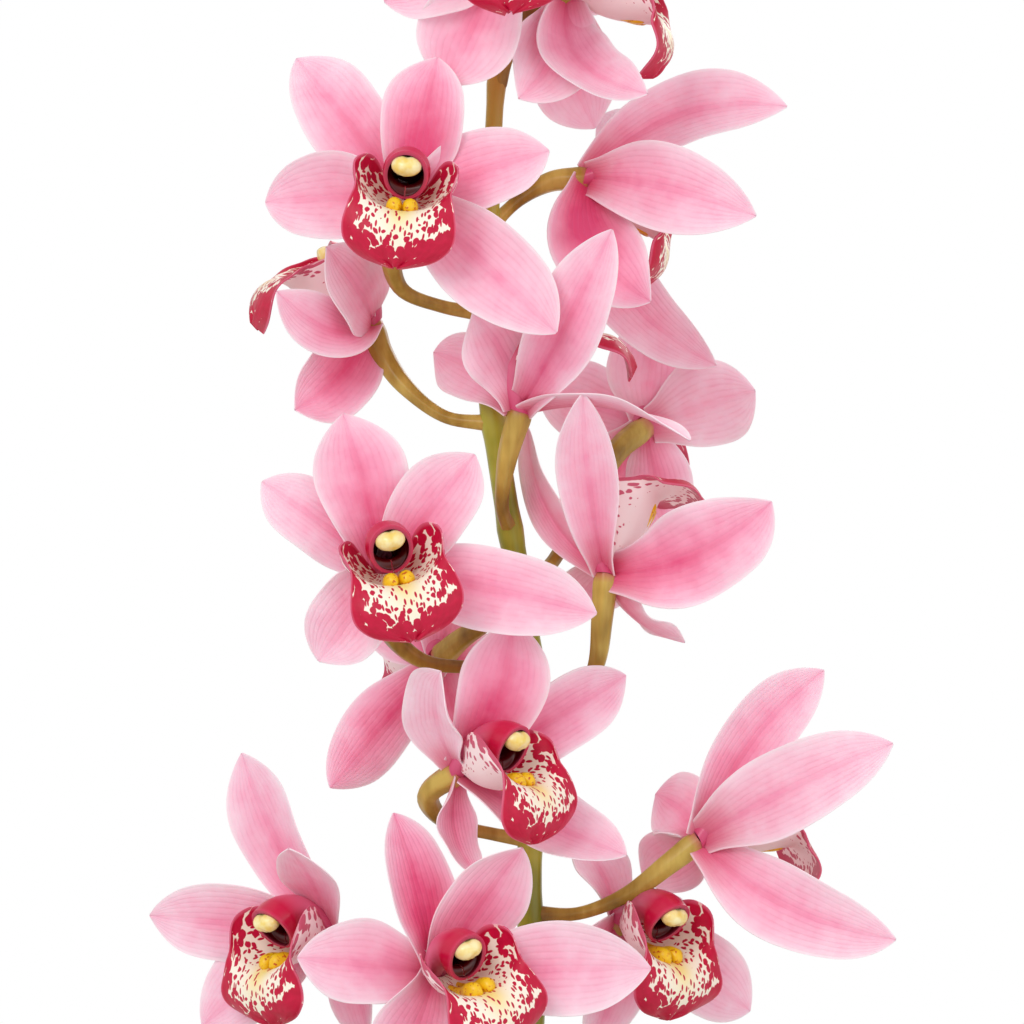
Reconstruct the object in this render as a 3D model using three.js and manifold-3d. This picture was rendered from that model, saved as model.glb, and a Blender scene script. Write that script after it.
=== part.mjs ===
// A potted Cymbidium orchid: a plain glazed pot, bark potting mix, pseudobulbs with strap leaves,
// and one upright flower spike. Millimetres, +Z up, the pot's underside centred on the origin.
// The flowers that face the front look along -Y.
import * as THREE from "three";
import { LoftGeometry } from "three/addons/geometries/LoftGeometry.js";
import { mergeVertices } from "three/addons/utils/BufferGeometryUtils.js";
import Module from "manifold-3d";

const wasm = await Module();
wasm.setup();

// ---------------------------------------------------------------- driving dimensions

const GAP = 0.3; // clearance kept between neighbouring pieces

const POT = {
  height: 165,
  topRadius: 90,
  footRadius: 64,
  wall: 5,
  floor: 8,
  rimHeight: 20,
  rimOverhang: 3,
  edge: 2,
  segments: 40,
};

const MIX = { top: 147, dome: 4, segments: 40 };

const STEM = { sides: 8, steps: 26, burial: 12 };

const PEDICEL = {
  sides: 6,
  steps: 7,
  rootRadius: 2.3,
  middleRadius: 2.7,
  ovaryRadius: 3.4,
  heartRadius: 4.3,
  inset: 1.5,
};

const COLUMN = {
  sides: 6,
  length: 26,
  halfWidth: 4.6,
  halfHeight: 2.7,
  lift: 3.5,
  arch: 2.2,
  footShare: 0.72,
};

const TEPAL = { base: 2.2, thickness: 1.5, cup: 0.22, bend: 3 };

const LEAF = { width: 22, thickness: 1.6, fold: 0.42, stand: 3 };

const BRACT = { width: 15, thickness: 1.2, length: 58, stand: 1.9, flare: 5, fold: 0.5 };

// Half-width of a blade along its length: [share of the length, share of the full half-width].
const TEPAL_OUTLINE = [[0, 0.34], [0.2, 0.66], [0.45, 0.96], [0.66, 1], [0.86, 0.7], [1, 0.05]];
const LEAF_OUTLINE = [
  [0, 0.42], [0.1, 0.5], [0.26, 0.8], [0.44, 1], [0.62, 1], [0.8, 0.78], [0.92, 0.45], [1, 0.05],
];
const BRACT_OUTLINE = [[0, 1], [0.3, 0.95], [0.7, 0.6], [1, 0.08]];

// The lip's stations: forward from the heart, up, half-width, and how high its sides stand.
const LIP_STATIONS = [
  { forward: 6, up: -3.8, halfWidth: 3.5, rise: 1 },
  { forward: 13, up: -7.2, halfWidth: 10, rise: 10 },
  { forward: 21, up: -9, halfWidth: 14, rise: 14 },
  { forward: 28, up: -10, halfWidth: 13.5, rise: 8 },
  { forward: 31.5, up: -14.5, halfWidth: 15.5, rise: 3 },
  { forward: 30.5, up: -20, halfWidth: 12, rise: 1 },
  { forward: 26, up: -25, halfWidth: 1.4, rise: 0 },
];
const LIP_THICKNESS = 1.4;
// Corners of the lip's section: [share of the half-width, share of the half-thickness].
const LIP_SECTION = [
  [1, 0.4], [0.6, 1], [0, 1], [-0.6, 1], [-1, 0.4], [-1, -0.4], [-0.6, -1], [0, -1], [0.6, -1], [1, -0.4],
];

// The flower spike's axis and its radius from the mix to the tip.
const STEM_PATH = [
  [6, -5, MIX.top - STEM.burial], [9, -5, 220], [8, -2, 330], [6, 0, 440], [5.4, 0, 498], [5.6, 0, 535],
  [6.3, 0, 573], [4, 0, 591], [-1, 0, 621], [-6.6, 0, 657], [-9, 0, 673], [-8, 0, 690],
  [-6.6, 0, 712], [-5, 0, 747], [-3.6, 0, 762], [-1, 1, 780], [0, 0, 800],
];
const STEM_RADII = [[0, 6], [0.35, 5], [0.5, 3.9], [0.75, 3.7], [0.88, 3], [1, 2]];

// Each flower: the heart where its tepals meet, the way it faces, its up side, its stalk's route from
// the spike, and its tepals, each with the place of its tip measured from the heart.
const FLOWERS = [
  {
    name: "01", heart: [-2, -18, 788], faces: [0.06, -0.96, 0.27], up: [0, 0.27, 0.96],
    stalk: [[-1.5, 0.5, 776], [-9, 3, 783], [-8, -6, 790]],
    tepals: [
      { tip: [-22, -8, 38], width: 24 },
      { tip: [-36, -4, -13], width: 25, front: [-0.2, -1, 0.1] },
      { tip: [34, 2, 26], width: 24 },
      { tip: [-18, -6, -38], width: 31, bend: 2, front: [0, -1, 0.1] },
      { tip: [30, 12, 10], width: 24 },
    ],
  },
  {
    name: "02", heart: [16, -3, 779], faces: [0.97, -0.15, 0], up: [0.1, 0, 1],
    stalk: [[-4, 0, 752], [0, -5, 763], [6, -5, 773]],
    tepals: [
      { tip: [10, 18, 41], width: 24 },
      { tip: [-14, -23, -33], width: 26, bend: 5, front: [0.05, -1, 0.15] },
      { tip: [10, 38, 12], width: 24 },
      { tip: [24, -30, -32], width: 24, bend: -10 },
      { tip: [9, 12, -40], width: 28, bend: -3, front: [0.1, -1, 0.2] },
    ],
  },
  {
    name: "03", heart: [22.2, 8, 724], faces: [0.9, -0.1, -0.35], up: [0.35, 0, 0.93],
    stalk: [[-6.5, 0, 709], [3, 6, 718], [12, 9, 723]],
    tepals: [
      { tip: [61, 10, 22], width: 25, bend: -9, front: [0, -1, 0.35] },
      { tip: [50, -38, -13], width: 26, bend: -8 },
      { tip: [4, 34, 20], width: 22 },
      { tip: [19, -26, -38], width: 27, bend: -4 },
      { tip: [40, 23, -56], width: 25, bend: -9 },
    ],
  },
  {
    name: "04", heart: [-31, -27, 716], faces: [-0.02, -0.97, 0.16], up: [0.1, 0, 1],
    stalk: [[-8.5, 0, 683], [-21, -3, 685], [-33, -8, 690], [-36, -18, 702]],
    tepals: [
      { tip: [9, -2, 42], width: 26, bend: 3 },
      { tip: [-33, 4, 42], width: 26 },
      { tip: [42, -8, 14], width: 25 },
      { tip: [-42, -3, -1], width: 29, bend: 4 },
      { tip: [44, -18, -40], width: 29, bend: 6 },
    ],
  },
  {
    name: "05", heart: [-42, 11, 680], faces: [-0.7, -0.15, 0.7], up: [0.5, 0.1, 0.5],
    stalk: [[-6.8, 0, 650], [-20, 2, 652], [-32, 5, 661], [-39, 9, 671]],
    tepals: [
      { tip: [8, 14, 32], width: 24 },
      { tip: [-13, -36, 22], width: 24, bend: -4, front: [0.3, -1, 0.2] },
      { tip: [-2, 40, 18], width: 24 },
      { tip: [-23, -14, -26], width: 25, bend: -3, front: [0.5, -0.9, 0.2] },
      { tip: [-28, -30, 9], width: 26, bend: -8, front: [-0.1, -1, 0.3] },
    ],
  },
  {
    name: "06", heart: [2.4, -14, 653.4], faces: [0.42, -0.05, 0.9], up: [-0.9, 0, 0.42],
    stalk: [[-0.5, 0, 618], [-3, -9, 625], [-1.5, -13, 639]],
    tepals: [
      { tip: [27, -32, 53], width: 22, bend: -8, front: [-0.1, -1, 0.1] },
      { tip: [-14, -13, 29], width: 25, front: [0.2, -1, 0] },
      { tip: [10, 40, 28], width: 22 },
      { tip: [50, -30, -9], width: 23, bend: 6 },
      { tip: [-26, 22, 18], width: 22, front: [0, -1, 0] },
    ],
  },
  {
    name: "07", heart: [41, 36, 649.5], faces: [-0.1, 0.98, 0.1], up: [0, 0, 1],
    stalk: [[0, 0, 604], [10, 9, 606], [21, 19, 624], [32, 29, 642]],
    tepals: [
      { tip: [4, 4, 34], width: 27 },
      { tip: [33, -4, 11], width: 28 },
      { tip: [-34, 16, 14], width: 24 },
      { tip: [8, 8, -36], width: 22 },
      { tip: [-22, 10, -34], width: 24 },
    ],
  },
  {
    name: "08", heart: [27.9, -6, 604.5], faces: [0.25, 0.25, 0.93], up: [-0.9, 0.1, 0.3],
    stalk: [[6, 0, 556], [17, -3, 562], [25, -5, 577], [27, -6, 592]],
    tepals: [
      { tip: [-7, -29, 54], width: 20, bend: -3, front: [-0.2, -1, -0.2] },
      { tip: [-23, 9, 44], width: 15, bend: -9, front: [-0.85, -0.5, 0.2] },
      { tip: [-8, 42, -14], width: 22 },
      { tip: [49, -20, 22], width: 29, bend: -3, front: [0.2, -1, 0.1] },
      { tip: [24, 8, -20], width: 16, bend: -4 },
    ],
  },
  {
    name: "09", heart: [-38, -27, 605.4], faces: [0.14, -0.96, 0.2], up: [-0.2, 0, 1],
    stalk: [[5, 0, 578], [-10, -4, 577], [-27, -8, 579], [-37, -16, 589]],
    tepals: [
      { tip: [-12, -4, 47], width: 28 },
      { tip: [27, -8, 35], width: 25 },
      { tip: [-36, -4, 27], width: 23 },
      { tip: [63, -9, -12], width: 26, bend: 5 },
      { tip: [-19, -12, -26], width: 26, bend: 5 },
    ],
  },
  {
    name: "10", heart: [-22, 20, 579], faces: [-0.1, 0.99, 0], up: [0, 0, 1],
    stalk: [[5.2, 0, 592], [-4, 8, 591], [-14, 14, 586]],
    tepals: [
      { tip: [6, 6, 32], width: 22 },
      { tip: [-24, 10, 20], width: 22 },
      { tip: [30, 14, -6], width: 22 },
      { tip: [-33, -2, -39], width: 22, bend: 4 },
      { tip: [10, 14, -38], width: 22 },
    ],
  },
  {
    name: "11", heart: [-16, -22, 546.6], faces: [0.74, -0.62, 0.18], up: [0, 0, 1],
    stalk: [[5.4, 0, 525], [-6, -3, 527], [-20, -7, 531], [-25, -15, 539]],
    tepals: [
      { tip: [16, -8, 45], width: 27, bend: 5, front: [0.3, -1, 0.1] },
      { tip: [50, 15, 28], width: 24 },
      { tip: [-5, -28, 30], width: 23, bend: 3, front: [-0.6, -0.9, 0] },
      { tip: [50, -4, -25], width: 27, bend: 2 },
      { tip: [6, -6, -31], width: 16, bend: -6 },
    ],
  },
  {
    name: "12", heart: [-54.6, -14, 499.5], faces: [-0.72, -0.68, -0.1], up: [-0.1, 0, 1],
    stalk: [[5.5, 0, 474], [-18, 3, 473], [-40, 2, 484]],
    tepals: [
      { tip: [-26, 2, 52], width: 27 },
      { tip: [-11, -32, 25], width: 20, bend: -2, front: [-0.5, -0.9, 0.1] },
      { tip: [-54, 13, 3], width: 25 },
      { tip: [-38, 7, -30], width: 26 },
      { tip: [12, -18, -32], width: 24, bend: -3 },
    ],
  },
  {
    name: "13", heart: [-23, -30, 486.6], faces: [0.48, -0.85, 0.16], up: [-0.35, 0, 1],
    stalk: [[5.5, 0, 464], [-6, -5, 461], [-18, -12, 465], [-24, -22, 475]],
    tepals: [
      { tip: [-12, -6, 48], width: 23 },
      { tip: [26, -13, 38], width: 26 },
      { tip: [-40, -18, 6], width: 26 },
      { tip: [64, -4, 2], width: 28, bend: 4 },
      { tip: [-16, -22, -36], width: 26 },
    ],
  },
  {
    name: "14", heart: [55.5, -4, 525], faces: [0.93, 0.25, 0.28], up: [-0.3, -0.1, 0.95],
    stalk: [[6, 0, 503], [20, 0, 503], [35, -1, 509], [47, -3, 518]],
    tepals: [
      { tip: [38, 2, 51], width: 23, bend: -5, front: [0.3, -1, 0.1] },
      { tip: [57, -30, 30], width: 26, bend: -7, front: [0.1, -1, 0.2] },
      { tip: [-12, 24, 13], width: 24, front: [0, -1, 0] },
      { tip: [58, -28, -28], width: 24, bend: -7, front: [0.2, -1, -0.1] },
      { tip: [-16, 30, -12], width: 22, front: [0, -1, 0] },
    ],
  },
  {
    name: "15", heart: [32, 9, 500.4], faces: [0.66, -0.74, -0.12], up: [0.05, 0, 1],
    stalk: [[5.5, 0, 484], [12, 6, 481], [22, 13, 486]],
    tepals: [
      { tip: [-13, 12, 24], width: 22 },
      { tip: [20, 27, -4], width: 21 },
      { tip: [-20, -22, -18], width: 20 },
      { tip: [40, 10, -28], width: 26 },
      { tip: [-8, -4, -38], width: 24 },
    ],
  },
  {
    name: "16", heart: [4, 2, 836], faces: [0.45, -0.6, 0.66], up: [-0.5, 0.2, 0.7],
    stalk: [[0.1, 0, 800.6], [-1, 2, 811], [0, 5, 824]],
    tepals: [
      { tip: [-14, 12, 36], width: 24 },
      { tip: [22, 22, 32], width: 22 },
      { tip: [-40, 2, 10], width: 22 },
      { tip: [40, 4, 0], width: 24 },
      { tip: [-12, -20, -24], width: 22 },
    ],
  },
];

// Each pseudobulb: its foot on the mix, its half-widths, its height and, for a leafy one, the
// heading of its fan of leaves and how widely the fan spreads.
const BULBS = [
  { name: "pseudobulb_1", foot: [-38, -4], halfWidths: [27, 21], height: 84, fan: 194, spread: 1 },
  { name: "pseudobulb_2", foot: [45, -2], halfWidths: [26, 21], height: 80, fan: -12, spread: 1 },
  { name: "pseudobulb_3", foot: [2, 42], halfWidths: [24, 20], height: 76, fan: 90, spread: 0.75 },
  { name: "back_bulb", foot: [4, -44], halfWidths: [20, 17], height: 52 },
];
// Share of the bulb's half-widths at each share of its height.
const BULB_PROFILE = [
  [0, 0.62], [0.14, 0.86], [0.34, 1], [0.58, 0.92], [0.78, 0.66], [0.92, 0.36], [1, 0.14],
];
const BULB_BURIAL = 8;
const BULB_SIDES = 12;

// A fan's leaves, from the outermost pair to the innermost: heading from the fan's own, where the
// leaf leaves its bulb (share of the bulb's height), length, and how far it reaches out and up.
const FAN = [
  { turn: -66, start: 0.4, length: 380, reach: 0.54, top: 0.32, tip: 0.08 },
  { turn: 62, start: 0.4, length: 400, reach: 0.5, top: 0.34, tip: 0.14 },
  { turn: -52, start: 0.64, length: 430, reach: 0.46, top: 0.38, tip: 0.26 },
  { turn: 54, start: 0.64, length: 410, reach: 0.48, top: 0.38, tip: 0.22 },
  { turn: -30, start: 0.88, length: 440, reach: 0.38, top: 0.39, tip: 0.36 },
  { turn: 33, start: 0.88, length: 425, reach: 0.34, top: 0.4, tip: 0.4 },
];

// The sheathing bracts up the spike's lower part, each with the heading it opens to, in radians.
const BRACTS = [
  { name: "stem_bract_1", height: 205, heading: -1.2 },
  { name: "stem_bract_2", height: 285, heading: 2.4 },
  { name: "stem_bract_3", height: 365, heading: -0.6 },
];

const COLOURS = {
  tepal: { color: "#f4a6c0", roughness: 0.55 },
  lip: { color: "#c21f4e", roughness: 0.45 },
  stem: { color: "#8a8a24", roughness: 0.5 },
  bract: { color: "#a3a04a", roughness: 0.7 },
  bulb: { color: "#7f9a3c", roughness: 0.5 },
  leaf: { color: "#3f7a2c", roughness: 0.42 },
  mix: { color: "#5b3d28", roughness: 0.95 },
  pot: { color: "#ece7dc", roughness: 0.3 },
};

// ---------------------------------------------------------------- geometry helpers

const vector = (values) => new THREE.Vector3(...values);

// Straight-line reading of a list of [share, value] pairs.
function readList(list, share) {
  const next = list.findIndex(([place]) => place >= share);
  if (next <= 0) return list[Math.max(next, 0)][1];
  const [x0, y0] = list[next - 1];
  const [x1, y1] = list[next];
  return THREE.MathUtils.mapLinear(share, x0, x1, y0, y1);
}

// Closed loft through rings of points, capped at both ends.
function loft(rings) {
  return new THREE.BufferGeometry().copy(new LoftGeometry(rings, { capStart: true, capEnd: true }));
}

// Position, direction, front and side of a curved piece at one share of its length.
function stationOn(curve, share, front) {
  const place = curve.getPoint(share);
  const along = curve.getTangent(share);
  const normal = front.clone().addScaledVector(along, -front.dot(along)).normalize();
  const side = new THREE.Vector3().crossVectors(normal, along);
  return { place, along, normal, side };
}

// Ring of a thin blade: two sharp edges and a thicker midrib. A positive cup lifts the edges
// towards the front.
function bladeRing(station, halfWidth, thickness, cup) {
  const corners = [[1, 0], [0, 1], [-1, 0], [0, -1]];
  return corners.map(([across, face]) => {
    const lift = cup * halfWidth * Math.abs(across) + (face * thickness) / 2;
    return station.place.clone()
      .addScaledVector(station.side, across * halfWidth)
      .addScaledVector(station.normal, lift);
  });
}

// A blade along a curve, with a front that faces one way: a tepal, a leaf or a bract.
function blade(curve, front, outline, width, thickness, cup) {
  const rings = outline.map(([share, part]) => {
    const station = stationOn(curve, share, front(share));
    return bladeRing(station, (part * width) / 2, thickness * (1 - 0.5 * share), cup);
  });
  return loft(rings);
}

// A round stalk along a curve, whose radius is read from a list.
function stalkGeometry(curve, radii, sides, steps, spare = 0) {
  const rings = [];
  let front = new THREE.Vector3(0, -1, 0);
  for (let step = 0; step <= steps; step += 1) {
    const share = step / steps;
    const station = stationOn(curve, share, front);
    front = station.normal;
    const radius = readList(radii, share) + spare;
    rings.push(ellipseRing(station, radius, radius, sides));
  }
  return loft(rings);
}

function ellipseRing(station, halfWidth, halfHeight, sides) {
  const ring = [];
  for (let side = 0; side < sides; side += 1) {
    const angle = (side / sides) * 2 * Math.PI;
    ring.push(
      station.place.clone()
        .addScaledVector(station.side, halfWidth * Math.cos(angle))
        .addScaledVector(station.normal, halfHeight * Math.sin(angle)),
    );
  }
  return ring;
}

// ---------------------------------------------------------------- booleans

function toSolid(geometry) {
  const bare = geometry.clone();
  bare.deleteAttribute("normal");
  bare.deleteAttribute("uv");
  const merged = mergeVertices(bare);
  const mesh = new wasm.Mesh({
    numProp: 3,
    vertProperties: merged.attributes.position.array,
    triVerts: Uint32Array.from(merged.index.array),
  });
  return new wasm.Manifold(mesh);
}

function toGeometry(solid) {
  const mesh = solid.getMesh();
  const geometry = new THREE.BufferGeometry();
  geometry.setAttribute("position", new THREE.BufferAttribute(mesh.vertProperties, 3));
  geometry.setIndex(new THREE.BufferAttribute(mesh.triVerts, 1));
  geometry.computeVertexNormals();
  return geometry;
}

function joined(geometries) {
  return geometries.map(toSolid).reduce((whole, piece) => whole.add(piece));
}

// ---------------------------------------------------------------- the spike

const stemCurve = new THREE.CatmullRomCurve3(STEM_PATH.map(vector));

function flowerStem(spare = 0) {
  return stalkGeometry(stemCurve, STEM_RADII, STEM.sides, STEM.steps, spare);
}

// Forward, up and side of a flower, square to each other.
function flowerAxes({ faces, up }) {
  const forward = vector(faces).normalize();
  const above = vector(up);
  above.addScaledVector(forward, -above.dot(forward)).normalize();
  const side = new THREE.Vector3().crossVectors(above, forward);
  return { forward, above, side };
}

// A tepal runs from beside the heart to its tip. A positive bend bows its middle to the front.
function tepalGeometry(heart, forward, { tip, width, bend = TEPAL.bend, cup = TEPAL.cup, front }) {
  const reach = vector(tip);
  const end = heart.clone().add(reach);
  const start = heart.clone().addScaledVector(reach.clone().normalize(), TEPAL.base);
  const bow = forward.clone().addScaledVector(reach, -forward.dot(reach) / reach.lengthSq()).normalize();
  const middle = start.clone().lerp(end, 0.5).addScaledVector(bow, 2 * bend);
  const curve = new THREE.QuadraticBezierCurve3(start, middle, end);
  const facing = front ? vector(front).normalize() : forward;
  return blade(curve, () => facing, TEPAL_OUTLINE, width, TEPAL.thickness, cup);
}

// The column stands forward from the heart as a shallow arch.
function columnGeometry(heart, { forward, above }) {
  const point = (ahead, lift) => heart.clone().addScaledVector(forward, ahead).addScaledVector(above, lift);
  const curve = new THREE.QuadraticBezierCurve3(
    point(0, COLUMN.lift / 2),
    point(COLUMN.length / 2, COLUMN.lift + COLUMN.arch),
    point(COLUMN.length, COLUMN.lift),
  );
  const rings = [0, 0.3, 0.65, 0.9, 1].map((share) => {
    const station = stationOn(curve, share, above);
    const swell = THREE.MathUtils.lerp(COLUMN.footShare, 1, Math.sin(share * Math.PI * 0.75));
    return ellipseRing(station, COLUMN.halfWidth * swell, COLUMN.halfHeight * swell, COLUMN.sides);
  });
  return loft(rings);
}

function pedicelGeometry(heart, forward, stalk) {
  const route = stalk.map(vector);
  route.push(heart.clone().addScaledVector(forward, PEDICEL.inset));
  const radii = [
    [0, PEDICEL.rootRadius],
    [0.5, PEDICEL.middleRadius],
    [0.85, PEDICEL.ovaryRadius],
    [1, PEDICEL.heartRadius],
  ];
  return stalkGeometry(new THREE.CatmullRomCurve3(route), radii, PEDICEL.sides, PEDICEL.steps);
}

// Stalk, ovary, column and tepals grow as one, and the stalk ends a gap short of the flower stem.
function flowerGeometry(flower, stemRoom) {
  const heart = vector(flower.heart);
  const axes = flowerAxes(flower);
  const pieces = [
    pedicelGeometry(heart, axes.forward, flower.stalk),
    columnGeometry(heart, axes),
    ...flower.tepals.map((tepal) => tepalGeometry(heart, axes.forward, tepal)),
  ];
  return toGeometry(joined(pieces).subtract(stemRoom));
}

// The lip is a trough whose sides stand beside the column and whose front lobe turns down.
function lipGeometry(flower) {
  const heart = vector(flower.heart);
  const { forward, above, side } = flowerAxes(flower);
  const spine = LIP_STATIONS.map(({ forward: ahead, up }) =>
    heart.clone().addScaledVector(forward, ahead).addScaledVector(above, up));
  const rings = LIP_STATIONS.map(({ halfWidth, rise }, index) => {
    const before = spine[Math.max(index - 1, 0)];
    const after = spine[Math.min(index + 1, spine.length - 1)];
    const along = after.clone().sub(before).normalize();
    const normal = new THREE.Vector3().crossVectors(along, side);
    const half = LIP_THICKNESS / 2;
    return LIP_SECTION.map(([across, face]) =>
      spine[index].clone()
        .addScaledVector(side, across * (halfWidth - face * half * Math.abs(across)))
        .addScaledVector(above, rise * across * across)
        .addScaledVector(normal, face * half));
  });
  return loft(rings);
}

// A bract stands on the flower stem and clasps it from one side.
function bractGeometry({ height, heading }) {
  const share = (height - STEM_PATH[0][2]) / (STEM_PATH.at(-1)[2] - STEM_PATH[0][2]);
  const out = new THREE.Vector3(Math.cos(heading), Math.sin(heading), 0);
  const radius = readList(STEM_RADII, share) + BRACT.stand;
  const base = pointAtHeight(height).addScaledVector(out, radius);
  const middle = pointAtHeight(height + BRACT.length / 2).addScaledVector(out, radius);
  const end = pointAtHeight(height + BRACT.length).addScaledVector(out, radius + BRACT.flare);
  const curve = new THREE.QuadraticBezierCurve3(base, middle, end);
  return blade(curve, () => out.clone().negate(), BRACT_OUTLINE, BRACT.width, BRACT.thickness, BRACT.fold);
}

// The stem's axis at one height, found by halving.
function pointAtHeight(height) {
  let low = 0;
  let high = 1;
  for (let round = 0; round < 24; round += 1) {
    const middle = (low + high) / 2;
    if (stemCurve.getPoint(middle).z < height) low = middle;
    else high = middle;
  }
  return stemCurve.getPoint(low);
}

// ---------------------------------------------------------------- the plant's foot

function bulbGeometry({ foot, halfWidths, height }, spare = 0) {
  const base = MIX.top - BULB_BURIAL;
  const rings = BULB_PROFILE.map(([share, part]) => {
    const station = {
      place: new THREE.Vector3(foot[0], foot[1], base - spare + share * (height + 2 * spare)),
      side: new THREE.Vector3(1, 0, 0),
      normal: new THREE.Vector3(0, 1, 0),
    };
    return ellipseRing(station, halfWidths[0] * part + spare, halfWidths[1] * part + spare, BULB_SIDES);
  });
  return loft(rings);
}

// A leaf rises from its bulb's flank and arches outward in one upright plane.
function leafGeometry(bulb, { turn, start, length, reach, top, tip }) {
  const heading = THREE.MathUtils.degToRad(bulb.fan + bulb.spread * turn);
  const out = new THREE.Vector3(Math.cos(heading), Math.sin(heading), 0);
  const part = readList(BULB_PROFILE, start);
  const radius = Math.hypot(bulb.halfWidths[0] * part * out.x, bulb.halfWidths[1] * part * out.y);
  const base = new THREE.Vector3(bulb.foot[0], bulb.foot[1], MIX.top - BULB_BURIAL + start * bulb.height);
  base.addScaledVector(out, radius + LEAF.stand);
  const upright = new THREE.Vector3(0, 0, 1);
  const point = (away, rise) =>
    base.clone().addScaledVector(out, away * length).addScaledVector(upright, rise * length);
  const curve = new THREE.CubicBezierCurve3(
    base,
    point(0.04, top * 0.75),
    point(reach * 0.55, top * 1.45),
    point(reach, tip),
  );
  const side = new THREE.Vector3().crossVectors(upright, out);
  const front = (share) => new THREE.Vector3().crossVectors(curve.getTangent(share), side);
  return blade(curve, front, LEAF_OUTLINE, LEAF.width, LEAF.thickness, LEAF.fold);
}

// ---------------------------------------------------------------- pot and mix

function potRadius(height) {
  return THREE.MathUtils.mapLinear(height, 0, POT.height, POT.footRadius, POT.topRadius);
}

function potGeometry() {
  const { height, wall, floor, rimHeight, rimOverhang, edge } = POT;
  const rimFoot = height - rimHeight;
  const profile = [
    [0, 0],
    [potRadius(0) - edge, 0],
    [potRadius(edge), edge],
    [potRadius(rimFoot), rimFoot],
    [potRadius(rimFoot) + rimOverhang, rimFoot + edge],
    [potRadius(height) + rimOverhang, height - edge],
    [potRadius(height) + rimOverhang - edge, height],
    [potRadius(height) - wall + edge, height],
    [potRadius(height) - wall, height - edge],
    [potRadius(floor) - wall, floor],
    [0, floor],
  ];
  return lathe(profile, POT.segments);
}

function lathe(profile, segments) {
  const points = profile.map(([radius, height]) => new THREE.Vector2(radius, height));
  return new THREE.LatheGeometry(points, segments).rotateX(Math.PI / 2);
}

// The mix fills the pot to below its rim, with room for the buried feet of bulbs and stem.
function mixGeometry(rooms) {
  const inner = (height) => potRadius(height) - POT.wall - GAP;
  const bottom = POT.floor + GAP;
  const shoulder = MIX.top - MIX.dome;
  const profile = [
    [0, bottom],
    [inner(bottom), bottom],
    [inner(shoulder), shoulder],
    [inner(shoulder) * 0.7, MIX.top],
    [0, MIX.top + 1],
  ];
  const filled = toSolid(lathe(profile, MIX.segments));
  return toGeometry(rooms.reduce((rest, room) => rest.subtract(room), filled));
}

// ---------------------------------------------------------------- assembly

const plant = new THREE.Group();

function addPiece(name, geometry, finish) {
  const material = new THREE.MeshStandardMaterial({ ...COLOURS[finish], metalness: 0 });
  const mesh = new THREE.Mesh(geometry, material);
  mesh.name = name;
  plant.add(mesh);
}

const stemRoom = toSolid(flowerStem(GAP));
const bulbRooms = BULBS.map((bulb) => toSolid(bulbGeometry(bulb, GAP)));

addPiece("pot", potGeometry(), "pot");
addPiece("potting_mix", mixGeometry([...bulbRooms, stemRoom]), "mix");
addPiece("flower_stem", flowerStem(), "stem");

BULBS.forEach((bulb) => addPiece(bulb.name, bulbGeometry(bulb), "bulb"));

let leafCount = 0;
BULBS.filter((bulb) => bulb.fan !== undefined).forEach((bulb) => {
  FAN.forEach((leaf) => {
    leafCount += 1;
    addPiece(`leaf_${String(leafCount).padStart(2, "0")}`, leafGeometry(bulb, leaf), "leaf");
  });
});

BRACTS.forEach((bract) => addPiece(bract.name, bractGeometry(bract), "bract"));

FLOWERS.forEach((flower) => {
  addPiece(`flower_${flower.name}`, flowerGeometry(flower, stemRoom), "tepal");
  addPiece(`lip_${flower.name}`, lipGeometry(flower), "lip");
});

export default plant;
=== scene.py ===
"""A potted cymbidium orchid in flower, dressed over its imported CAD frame.

Metres, +Z up, the pot's underside centred on the origin, and the front of the plant along -Y.
The classes hold their sizes in millimetres, as a grower would measure them, and MM turns them to metres.
"""

import logging
import math
import random
import sys
from dataclasses import dataclass, field
from enum import Enum
from typing import Any

import bpy
import numpy as np
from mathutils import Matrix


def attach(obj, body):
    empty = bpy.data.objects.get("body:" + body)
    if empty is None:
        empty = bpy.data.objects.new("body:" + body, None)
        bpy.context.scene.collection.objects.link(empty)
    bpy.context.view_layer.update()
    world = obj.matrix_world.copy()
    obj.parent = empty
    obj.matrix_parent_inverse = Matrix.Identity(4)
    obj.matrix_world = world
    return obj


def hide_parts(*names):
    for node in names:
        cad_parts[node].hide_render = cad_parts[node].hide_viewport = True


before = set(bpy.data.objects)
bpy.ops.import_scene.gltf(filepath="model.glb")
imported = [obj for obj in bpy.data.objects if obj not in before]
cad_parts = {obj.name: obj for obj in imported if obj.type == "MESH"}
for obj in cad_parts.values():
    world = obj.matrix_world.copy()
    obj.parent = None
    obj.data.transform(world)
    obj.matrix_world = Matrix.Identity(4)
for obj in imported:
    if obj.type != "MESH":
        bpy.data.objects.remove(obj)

LOG = logging.getLogger("orchid")
MM = 0.001
UPRIGHT = np.array([0.0, 0.0, 1.0])
STEM_FOOT = (6.0, -5.0)
STEM_ROOM = 8.0
BULB_ROOM = 2.0
LEAF_SEED = 5


class Slot(Enum):
    """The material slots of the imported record."""

    POT = "glazed_pot"
    MIX = "bark_mix"
    STEM = "green_stem"
    BRACT = "dry_bract"
    BULB = "bulb_skin"
    LEAF = "strap_leaf"
    TEPAL = "pink_tepal"
    LIP = "crimson_lip"


# ------------------------------------------------------------------ small mathematics


def unit(values: Any) -> np.ndarray:
    """Scale a vector to a length of one."""
    array = np.asarray(values, float)
    return array / np.linalg.norm(array)


def smoothstep(low: float, high: float, values: Any) -> np.ndarray:
    """Rise smoothly from 0 at low to 1 at high."""
    share = np.clip((np.asarray(values, float) - low) / (high - low), 0.0, 1.0)
    return share * share * (3.0 - 2.0 * share)


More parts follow.
